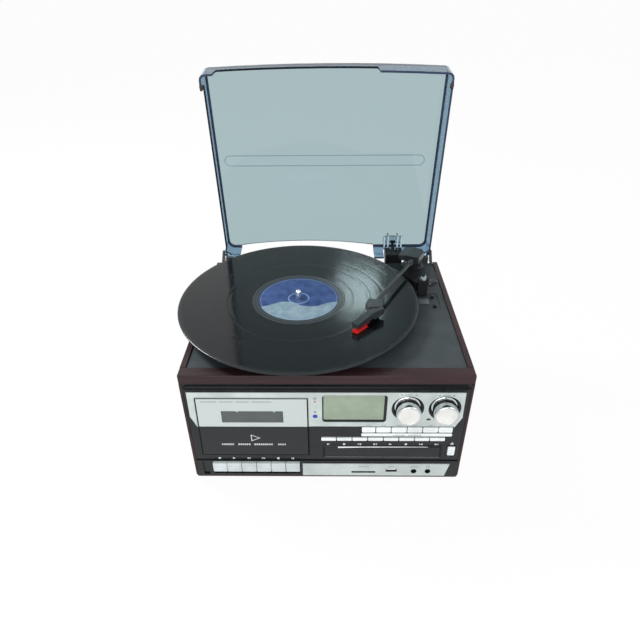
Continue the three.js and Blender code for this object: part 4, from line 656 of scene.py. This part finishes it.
def pad_points(side):
    """An ellipsoid: cosine of the rise times cosine and sine of the turn across, sine of the rise upwards."""
    turn, rise = np.meshgrid(np.linspace(0, TURN, 24, endpoint=False), np.linspace(-PAD_POLE, PAD_POLE, 13))
    across, along, high = PAD_HALF
    return lid_spot(side * PAD_X + across * np.cos(rise) * np.cos(turn),
                    PAD_V + along * np.cos(rise) * np.sin(turn), PAD_UP + high * np.sin(rise))


surface("lid_band", band_points(), "lid", "lid")
surface("left_bumper", pad_points(-1), "lid", "bumper")
surface("right_bumper", pad_points(1), "lid", "bumper")

# Plain bodies with fine edges, and where the finishes of the fascia and of the lower strip change
FASCIA_EDGE, STRIP_EDGE = 0.25, 0.2
LIP_FOOT = 137.5
JACK_X, JACK_Z, JACK_SHELL = np.array([106.2, 123.1]), 13.7, 3.4
STRIP_Y, STRIP_FACE_HALF, SUNK_Y, FACES_FRONT = -132.2, 0.12, -131.9, -0.9
PORTS_X, PORTS_Z = (25, 132), (9, 20)
TONGUE_X, TONGUE_Y, TONGUE_Z, TONGUE_HALF = (72, 86), -129.5, 14.9, 1.2


def fascia_paint(middles, normals):
    """The rounded lip over the panel, 1, has a darker copy of the panel's gloss black, as painted shade."""
    return np.where(middles[:, 2] > LIP_FOOT, 1, 0)


def strip_paint(middles, normals):
    """Shells of the jacks and everything sunk behind the strip's face are dark, 1: black plastic at the jacks and
    painted shade in the hollows of the ports; the port's tongue is pale, 2.
    """
    x, y, z = middles.T
    from_jack = np.hypot(x[:, None] - JACK_X, z[:, None] - JACK_Z).min(1)
    shells = (from_jack < JACK_SHELL) & (np.abs(y - STRIP_Y) > STRIP_FACE_HALF)
    sunk = (y > SUNK_Y) & within(x, PORTS_X) & within(z, PORTS_Z)
    tongue = sunk & (normals[:, 1] < FACES_FRONT) & within(x, TONGUE_X) & (y < TONGUE_Y)
    tongue &= np.abs(z - TONGUE_Z) < TONGUE_HALF
    return np.select([tongue, shells | sunk], [2, 1], 0)


EDGES_INSIDE = {
    "motor": 0.4, "drive_belt": 0.1, "motor_pulley": 0.15, "platter": 0.3, "disc_mechanism": 0.4,
    "cassette_mechanism": 0.4, "circuit_board": 0.25, "left_speaker": 0.4, "right_speaker": 0.4,
}
EDGES_ON_ARM = {"arm_cap": 0.2, "headshell": 0.18, "arm_clip": 0.2, "cartridge": 0.15, "arm_rest": 0.25}
EDGES_OUTSIDE = {
    "base_board": 0.4, "left_side": 0.8, "right_side": 0.8, "front_rail": 0.5, "rear_panel": 0.3,
    "deck_plate": 0.35, "speed_switch": 0.3, "auto_stop_switch": 0.3, "tonearm_base": 0.5, "arm_tube": 0.3,
    "cue_lever": 0.3, "hinge_tongue": 0.3, "hinge_block": 0.5, "silver_panel": 0.2, "cassette_door": 0.3,
    "door_window": 0.25, "lcd_display": 0.2, "disc_drawer": 0.4,
}
dressed("fascia", FASCIA_EDGE, fascia_paint, ["lip"])
dressed("lower_strip", STRIP_EDGE, strip_paint, ["joint", "pale_and_highlight"])
for edges, angle in ((EDGES_INSIDE, SHARP), (EDGES_ON_ARM, SHARP_ON_ARM), (EDGES_OUTSIDE, SHARP)):
    for node, edge in edges.items():
        dressed(node, edge, angle=angle)

# Push buttons: the edges between the columns, and each row's foot, head, face and edge radius
FUNCTION_EDGES = (40.6, 57, 74.8, 93.1, 111, 129, 145.8)
DISC_EDGES = (-6.6, 11.7, 30.1, 48.3, 66.6, 84.6, 103, 120.4, 138.9)
OPEN_EDGES = (143.2, 152.6)
FUNCTION_ROW, DISC_ROW, OPEN_ROW = (78.4, 86.9, -131.5, 0.9), (64.2, 69.1, -131.3, 1.1), (40.2, 54.2, -131.3, 0.9)
BUTTON_BACK, BUTTON_CORNER, BUTTON_GAP = -123.0, 1.0, 0.4
SELECT_X, SELECT_Z, SELECT_BACK, SELECT_FACE = (40.2, 146.2), (71.1, 75.8), -129.0, -130.5
SELECT_EDGE, SELECT_CORNER = 0.9, 2.3
# A button's dome: its height, and its rings' shares of the way in and how far in the last of them lies
DOME, DOME_SHARES, DOME_REACH = 0.25, np.array([0.3, 0.6, 1.0]), 0.98
CORNER_X, CORNER_Z = np.array([1, -1, -1, 1]), np.array([1, 1, -1, -1])


def cushion(x0, x1, z0, z1, back, face, edge, corner):
    """Rings of a round-cornered rectangle from back to face, both values of y: each further in along a quarter
    circle of the edge's radius, then over a low dome whose height is a parabola of its share of the way in."""
    t = np.linspace(0, QUARTER, 6)
    half_x, half_z = (x1 - x0) / 2, (z1 - z0) / 2
    dome_in = edge + (min(half_x, half_z) - edge) * DOME_SHARES * DOME_REACH
    inwards = np.concatenate([[0], edge * (1 - np.cos(t)), dome_in])
    y = np.concatenate([[back], face + edge * (1 - np.sin(t)), face - DOME * (1 - (1 - DOME_SHARES) ** 2)])
    r = np.maximum(corner - inwards, POLE)
    a = np.add.outer(np.arange(4) * QUARTER, t)
    u = np.multiply.outer(np.maximum(half_x - inwards - r, 0), CORNER_X)[..., None]
    v = np.multiply.outer(np.maximum(half_z - inwards - r, 0), CORNER_Z)[..., None]
    x = u + r[:, None, None] * np.cos(a)
    z = v + r[:, None, None] * np.sin(a)
    count = len(inwards)
    return spot((x0 + x1) / 2 + x.reshape(count, -1), y[:, None], (z0 + z1) / 2 + z.reshape(count, -1))


def push_button(name, x0, x1, row):
    """One button between two edges of its row."""
    z0, z1, face, edge = row
    points = cushion(x0 + BUTTON_GAP, x1 - BUTTON_GAP, z0, z1, BUTTON_BACK, face, edge, BUTTON_CORNER)
    surface(name + "_body", points, name, "button", True)


for i, sides in enumerate(zip(FUNCTION_EDGES, FUNCTION_EDGES[1:])):
    push_button(f"function_button_{i + 1}", *sides, FUNCTION_ROW)
for i, sides in enumerate(zip(DISC_EDGES, DISC_EDGES[1:])):
    push_button(f"disc_button_{i + 1}", *sides, DISC_ROW)
push_button("open_button", *OPEN_EDGES, OPEN_ROW)
surface("select_bar", cushion(*SELECT_X, *SELECT_Z, SELECT_BACK, SELECT_FACE, SELECT_EDGE, SELECT_CORNER),
        "fascia", "button")

# Cassette keys: their lower edge, how far the face lies behind the ridge, and the rounds of its two edges
KEY_LOW, KEY_FACE_BACK = 13.0, 1.15
KEY_FOOT_ROUND, KEY_TOP_ROUND = 2.2, 1.8
# The ridge: its share of the height, how far it stands out, half its height, and half of it with its foot
RIDGE_SHARE, RIDGE_OUT, RIDGE_HALF, RIDGE_FOOT = 0.56, 1.05, 1.6, 2.2
# Rings at each end: how far from the end they lie and how far they are drawn in, the first to a point
KEY_END_X, KEY_END_IN = np.array([0, 0, 0.2, 0.7]), np.array([np.inf, 0.7, 0.3, 0])


def key_points(x0, x1, face, back, low, high):
    """A section in y and z drawn along x: quarter circles at the lower and upper front edge and half an ellipse
    between them as a ridge. At both ends the section draws in towards its middle and closes there."""
    ridge = low + (high - low) * RIDGE_SHARE
    a = np.linspace(0, QUARTER, 7)
    foot = np.stack([face + KEY_FOOT_ROUND * (1 - np.sin(a)), low + KEY_FOOT_ROUND * (1 - np.cos(a))], -1)
    bead = np.stack([face - RIDGE_OUT * np.sin(2 * a), ridge - RIDGE_HALF * np.cos(2 * a)], -1)
    top = np.stack([face + KEY_TOP_ROUND * (1 - np.cos(a)), high - KEY_TOP_ROUND * (1 - np.sin(a))], -1)
    outline = np.concatenate([[(back, low)], foot, [(face, ridge - RIDGE_FOOT)], bead,
                              [(face, ridge + RIDGE_FOOT)], top, [(back, high)]])
    middle = np.array([back, (low + high) / 2])
    x = np.concatenate([x0 + KEY_END_X, (x1 - KEY_END_X)[::-1]])
    inwards = np.concatenate([KEY_END_IN, KEY_END_IN[::-1]])
    reach = np.maximum(np.linalg.norm(outline - middle, axis=1, keepdims=True), 0.1)
    rings = middle + (outline - middle) * (1 - np.minimum(inwards[:, None, None] / reach, 1))
    return spot(x[:, None], rings[..., 0], rings[..., 1])


for i in range(6):
    node = f"cassette_key_{i + 1}"
    low, high = [(np.array(corner) - MIDDLE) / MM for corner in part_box(node)]
    points = key_points(low[0], high[0], low[1] + KEY_FACE_BACK, high[1], KEY_LOW, high[2])
    surface(node + "_body", points, node, "key", True)

# Knobs: profiles of a chromed skirt and of a satin face set into it, from the fascia's face forwards
KNOB_X = {"volume_knob": 91.2, "tuning_knob": 132.5}
KNOB_Z, FASCIA_Y = 115.6, -129.2
SKIRT = [(3.0, -1.9), (15.0, -1.9), (15.0, -1.3), (14.7, -1.0), (13.2, -0.6), (13.1, 0.2), (13.7, 1.1),
         (13.83, 2.0), (13.83, 12.9), (13.75, 13.5), (13.5, 14.0), (13.1, 14.4), (12.6, 14.6), (12.0, 14.65),
         (11.7, 14.5), (11.6, 14.1)]
KNOB_FACE = [(11.6, 14.12), (11.2, 14.2), (8.0, 14.24), (4.0, 14.26), (POLE, 14.26)]
for node, x in KNOB_X.items():
    at = (x, FASCIA_Y, KNOB_Z)
    surface(node + "_skirt", lathe(SKIRT, KNOB_STEPS, at, "front"), node, "knob_side", True)
    surface(node + "_face", lathe(KNOB_FACE, KNOB_STEPS, at, "front"), node, "knob")


# Printed marks on the front, and painted highlights on the drawer: lists of flat shapes, each an outline of [x, z]
# points
def ring_mark(cx, cz, r0, r1, a0=0, a1=360, count=24, tall=1.0):
    """Part of a ring between two radii and two angles in degrees, as a strip of four-sided shapes: radius times
    cosine and sine of the angle, the height times tall."""
    a = np.radians(np.linspace(a0, a1, count))
    inner, outer = (np.stack([cx + r * np.cos(a), cz + tall * r * np.sin(a)], -1) for r in (r0, r1))
    return [*np.stack([inner[1:], inner[:-1], outer[:-1], outer[1:]], 1)]


def bar_mark(x0, x1, z0, z1):
    """An upright rectangle."""
    return [[(x0, z0), (x1, z0), (x1, z1), (x0, z1)]]


def arrow_mark(foot, tip, z, half):
    """A triangle with an upright foot at one x and its tip at another."""
    return [[(foot, z - half), (tip, z), (foot, z + half)]]


def outline_mark(points, wide):
    """The outline of a closed shape with straight sides, its inner line drawn towards the middle by a width."""
    p = np.asarray(points, float)
    middle = p.mean(0)
    q = middle + (p - middle) * (1 - wide / np.linalg.norm(p - middle, axis=1, keepdims=True))
    return [*np.stack([p, np.roll(p, -1, 0), np.roll(q, -1, 0), q], 1)]


def comb_mark(groups, low, high, pitch, wide):
    """Rows of plain upright strokes between the ends of each group."""
    return [shape for x0, x1 in groups for x in np.arange(x0, x1 - wide, pitch)
            for shape in bar_mark(x, x + wide, low, high)]


def marks(name, host, y, shapes, finish, thick=0.06):
    """A piece of flat shapes that stand thick in front of a face at y, each with a thin side all round. A shape
    whose area comes out negative is turned round, so that all of them look forwards."""
    vertices, faces, first = [], [], 0
    for shape in shapes:
        p = np.asarray(shape, float)
        after = np.roll(p, -1, 0)
        if np.sum(p[:, 0] * after[:, 1] - after[:, 0] * p[:, 1]) < 0:
            p = p[::-1]
        n = len(p)
        i = first + np.arange(n)
        j = np.roll(i, -1)
        vertices += [spot(p[:, 0], y - thick, p[:, 1]), spot(p[:, 0], y, p[:, 1])]
        faces += [i.tolist(), *np.stack([i + n, j + n, j, i], -1).tolist()]
        first += 2 * n
    mesh = bpy.data.meshes.new(name)
    mesh.from_pydata(np.concatenate(vertices), [], faces)
    mesh.materials.append(finishes[finish])
    finish_mesh(name, mesh, host, False, SHARP_ON_MARKS)


# On the cassette door: an open triangle, strokes for words, the window's head and the frame's line
DOOR_Y = -131.2
marks("door_mark", "cassette_door", DOOR_Y, outline_mark([(-88.1, 74.6), (-88.1, 63.8), (-77.3, 69.2)], 1.6),
      "print")
marks("door_strokes", "cassette_door", DOOR_Y,
      comb_mark(((-123.5, -107), (-104, -88), (-85, -61), (-57, -47)), 57.2, 59.9, 2.5, 1.5), "print")
marks("door_top_strokes", "cassette_door", DOOR_Y,
      comb_mark(((-140.5, -122), (-119, -104), (-101, -86), (-83, -61)), 125.0, 126.6, 1.7, 0.9), "faint_print_and_highlight")
head = [bar_mark(x0, x1, 110.2, 111.8)[0] for x0, x1 in ((-119.2, -101.6), (-99.8, -59.8), (-58, -49))]
marks("window_head", "cassette_door", DOOR_Y, head, "window")
frame_line = [[(-148.9, 41.2), (-147.5, 41.2), (-145.6, 131.1), (-146.95, 131.1)]]
frame_line += bar_mark(-147, -20.6, 130, 131.2) + bar_mark(-21.8, -20.5, 41, 131.2)
frame_line += bar_mark(-148.9, -20.6, 40, 41.2)
marks("door_frame_line", "cassette_door", DOOR_Y, frame_line, "joint")

# On the silver panel: its foot, a diamond, two lamps, small marks, the dials' pointers and strokes for words
PANEL_Y = -130.7
marks("panel_foot", "fascia", PANEL_Y, bar_mark(-19.9, 146.5, 86.3, 87.8), "gloss")
marks("diamond_mark", "fascia", PANEL_Y,
      outline_mark([(-12.7, 128.6), (-10.6, 130.7), (-12.7, 132.8), (-14.8, 130.7)], 0.7), "dark_print")
marks("red_lamp", "fascia", PANEL_Y, ring_mark(-12.7, 126, POLE, 1.0, count=16), "red_light", 0.3)
marks("blue_lamp", "fascia", PANEL_Y, ring_mark(-12.7, 103.9, POLE, 2.7, tall=0.95), "blue_light", 0.5)
marks("small_mark", "fascia", PANEL_Y, bar_mark(-14.3, -11.1, 109.3, 111.3), "faint_print_and_highlight")
marks("oval_mark", "fascia", PANEL_Y, ring_mark(116, 99.2, POLE, 2.6, tall=0.6), "dark_print")
dial = []
for cx, top in zip(KNOB_X.values(), (137, 136)):
    dial += arrow_mark(cx - 7, cx - 9.5, top - 1, 1.2) + arrow_mark(cx + 7, cx + 9.5, top - 1, 1.2)
    dial += comb_mark(((cx - 5, cx + 5),), top - 1.8, top - 0.2, 1.9, 0.9)
marks("dial_marks", "fascia", PANEL_Y, dial, "faint_print_and_highlight")
marks("function_strokes", "fascia", PANEL_Y,
      comb_mark([(x - 3, x + 3) for x in (48.8, 65.9, 84, 102, 120)], 89, 90.2, 1.5, 0.8), "faint_print_and_highlight")

# On the select bar's dome: strokes for words
marks("bar_strokes", "fascia", SELECT_FACE - DOME, comb_mark(((78, 92), (95, 110)), 72.7, 74.2, 1.7, 0.9),
      "faint_print_and_highlight", 0.1)

# On the fascia: a pictogram under each disc button, by turns play, stop, back and forward, and one by the drawer
DISC_SYMBOL_X, DISC_SYMBOL_Z = (2.5, 20.9, 39.2, 57.4, 75.6, 93.8, 111.7, 129.7), 57.2


def disc_symbol(kind, x, z):
    """A triangle, a square, or a bar that a triangle points away from."""
    if kind == 0:
        return arrow_mark(x - 1.7, x + 1.7, z, 1.5)
    if kind == 1:
        return bar_mark(x - 1.4, x + 1.4, z - 1.4, z + 1.4)
    if kind == 2:
        return bar_mark(x - 2.2, x - 1.5, z - 1.4, z + 1.4) + arrow_mark(x + 1.9, x - 1.3, z, 1.5)
    return bar_mark(x + 1.5, x + 2.2, z - 1.4, z + 1.4) + arrow_mark(x - 1.9, x + 1.3, z, 1.5)


symbols = [shape for i, x in enumerate(DISC_SYMBOL_X) for shape in disc_symbol(i % 4, x, DISC_SYMBOL_Z)]
symbols += [[(146, 58.2), (150, 58.2), (148, 60.6)]] + bar_mark(146, 150, 56.6, 57.4)
marks("button_symbols", "fascia", FASCIA_Y, symbols, "print")

# Over the cassette keys: a dot, one triangle, two pairs of triangles, a square and two bars
KEY_SYMBOL_Z, KEY_SYMBOL_HALF = 32.4, 1.5
tape_symbols = ring_mark(-129.5, KEY_SYMBOL_Z, POLE, 1.5) + arrow_mark(-113.4, -110.2, KEY_SYMBOL_Z, 1.6)
for foot, tip in ((-92, -94.2), (-94.2, -96.4), (-78.2, -76), (-76, -73.8)):
    tape_symbols += arrow_mark(foot, tip, KEY_SYMBOL_Z, KEY_SYMBOL_HALF)
for x0, x1 in ((-59.8, -56.8), (-42.2, -41.2), (-40.4, -39.4)):
    tape_symbols += bar_mark(x0, x1, KEY_SYMBOL_Z - KEY_SYMBOL_HALF, KEY_SYMBOL_Z + KEY_SYMBOL_HALF)
marks("tape_symbols", "fascia", FASCIA_Y, tape_symbols, "print")

# On the drawer's front: a painted highlight along its head, the dark lines round its face, and a painted highlight
# under its foot
DRAWER_Y = -130.4
# A pale tapered strip along the drawer's head: a painted highlight
pale_and_highlight = [[(13.7, 51.9), (40, 52.9), (119.9, 53.6), (119.9, 54.2), (13.7, 54.2)]]
marks("drawer_painted_highlight", "disc_drawer", DRAWER_Y, pale_and_highlight, "pale_and_highlight", 0.15)
edge_lines = bar_mark(-2.6, 135.4, 37.2, 38) + bar_mark(-2.6, -1.7, 37.2, 54) + bar_mark(134.5, 135.4, 37.2, 54)
edge_lines += bar_mark(-2.6, 12, 53.2, 54.1) + bar_mark(121, 135.4, 53.2, 54.1)
marks("drawer_lines", "disc_drawer", DRAWER_Y, edge_lines, "joint")
# A thin pale line under the drawer's foot: a painted highlight
marks("drawer_foot_highlight", "disc_drawer", DRAWER_Y, bar_mark(-2, 134.8, 36.3, 36.9), "faint_print_and_highlight")

# On the lower strip: headphones, strokes for words, and the dark mouths of the jacks
JACK_FACE = -132.96
phones = ring_mark(122.9, 22, 1.3, 1.9, 0, 180, 12) + bar_mark(120.8, 121.9, 20.4, 22)
phones += bar_mark(123.9, 125, 20.4, 22)
marks("strip_marks", "lower_strip", STRIP_Y,
      phones + comb_mark(((39, 52), (76, 82), (101, 113)), 20.6, 21.9, 1.6, 0.9), "faint_print_and_highlight")
for x in JACK_X:
    marks(f"jack_{int(x)}_mouth", "lower_strip", JACK_FACE, ring_mark(x, JACK_Z, 1.7, 3.3), "joint", 0.05)

# Grey plate under the small controls on the deck: one flat face
PLATE_X, PLATE_Y, PLATE_Z = np.array([120.7, 133.8]), np.array([17.8, 29.8]), 160.27
surface("control_plate", spot(PLATE_X, PLATE_Y[:, None], PLATE_Z), "deck_plate", "plate", around=False)

# Pale liner of the arm's rest: the middle of the arm's place on it, its two radii, its arc and where it runs
CRADLE_X, CRADLE_Z, CRADLE_INNER, CRADLE_OUTER = 126.9, 187.2, 2.6, 3.3
CRADLE_ARC, CRADLE_Y = (200, 385), np.array([36.2, 36.6, 44.4, 44.8])


def cradle_points():
    """A C-shaped section, an outer arc and an inner one back, drawn along y."""
    arc = np.radians(np.linspace(*CRADLE_ARC, 20))
    a = np.concatenate([arc, arc[::-1]])
    r = np.repeat([CRADLE_OUTER, CRADLE_INNER], len(arc))
    return spot(CRADLE_X + r * np.cos(a), CRADLE_Y[:, None], CRADLE_Z + r * np.sin(a))


surface("arm_cradle", cradle_points(), "arm_rest", "cradle")

# Stage: half the floor's side, how white it is seen, and how much light the surround gives
FLOOR_HALF, FLOOR_WHITE, SURROUND_LIGHT = 16.0, 0.96, 0.4
WHITE = (1, 1, 1, 1)
# Lamps in metres from the frame's origin: place, side of the square, power, aim and spread in degrees
OBJECT = (0, 0, 0.15)
LAMPS = {
    "key": ((-1.15, 0.55, 1.3), 0.45, 24, OBJECT, 180),
    "window": ((0.12, 1.2, 0.9), 0.16, 0.0055, (0.04, 0.03, 0.18), 12),
    "front": ((-0.3, -1.8, 0.7), 1.4, 18, OBJECT, 180),
    "fill": ((1.2, -0.6, 1.2), 0.9, 6, OBJECT, 180),
}


def make_stage():
    """A white floor that keeps the soft shadow, a white surround, three soft lamps, and a small one that the
    record's face mirrors."""
    h = FLOOR_HALF
    mesh = bpy.data.meshes.new("floor")
    mesh.from_pydata([(-h, -h, 0), (h, -h, 0), (h, h, 0), (-h, h, 0)], [], [(0, 1, 2, 3)])
    floor = bpy.data.objects.new("floor", mesh)
    bpy.context.scene.collection.objects.link(floor)
    white = Finish("floor_white", (0.9, 0.9, 0.9), 0.9)
    glow = white.node("ShaderNodeEmission", Color=WHITE, Strength=1.0)
    white.show_white(white.shader, glow, "Material Output", FLOOR_WHITE)
    mesh.materials.append(white.material)

    world = bpy.data.worlds.new("surround")
    bpy.context.scene.world = world
    world.use_nodes = True
    surround = Nodes(world.node_tree)
    plain = world.node_tree.nodes["Background"]
    plain.inputs["Color"].default_value = WHITE
    plain.inputs["Strength"].default_value = SURROUND_LIGHT
    bright = surround.node("ShaderNodeBackground", Color=WHITE, Strength=1.0)
    surround.show_white(plain, bright, "World Output", 1.0)

    for name, (place, size, power, aim, spread) in LAMPS.items():
        data = bpy.data.lights.new(name, "AREA")
        data.size = size
        data.energy = power
        data.spread = math.radians(spread)
        lamp = bpy.data.objects.new(name, data)
        bpy.context.scene.collection.objects.link(lamp)
        lamp.location = place
        lamp.rotation_euler = (Vector(aim) - Vector(place)).to_track_quat("-Z", "Y").to_euler()


make_stage()
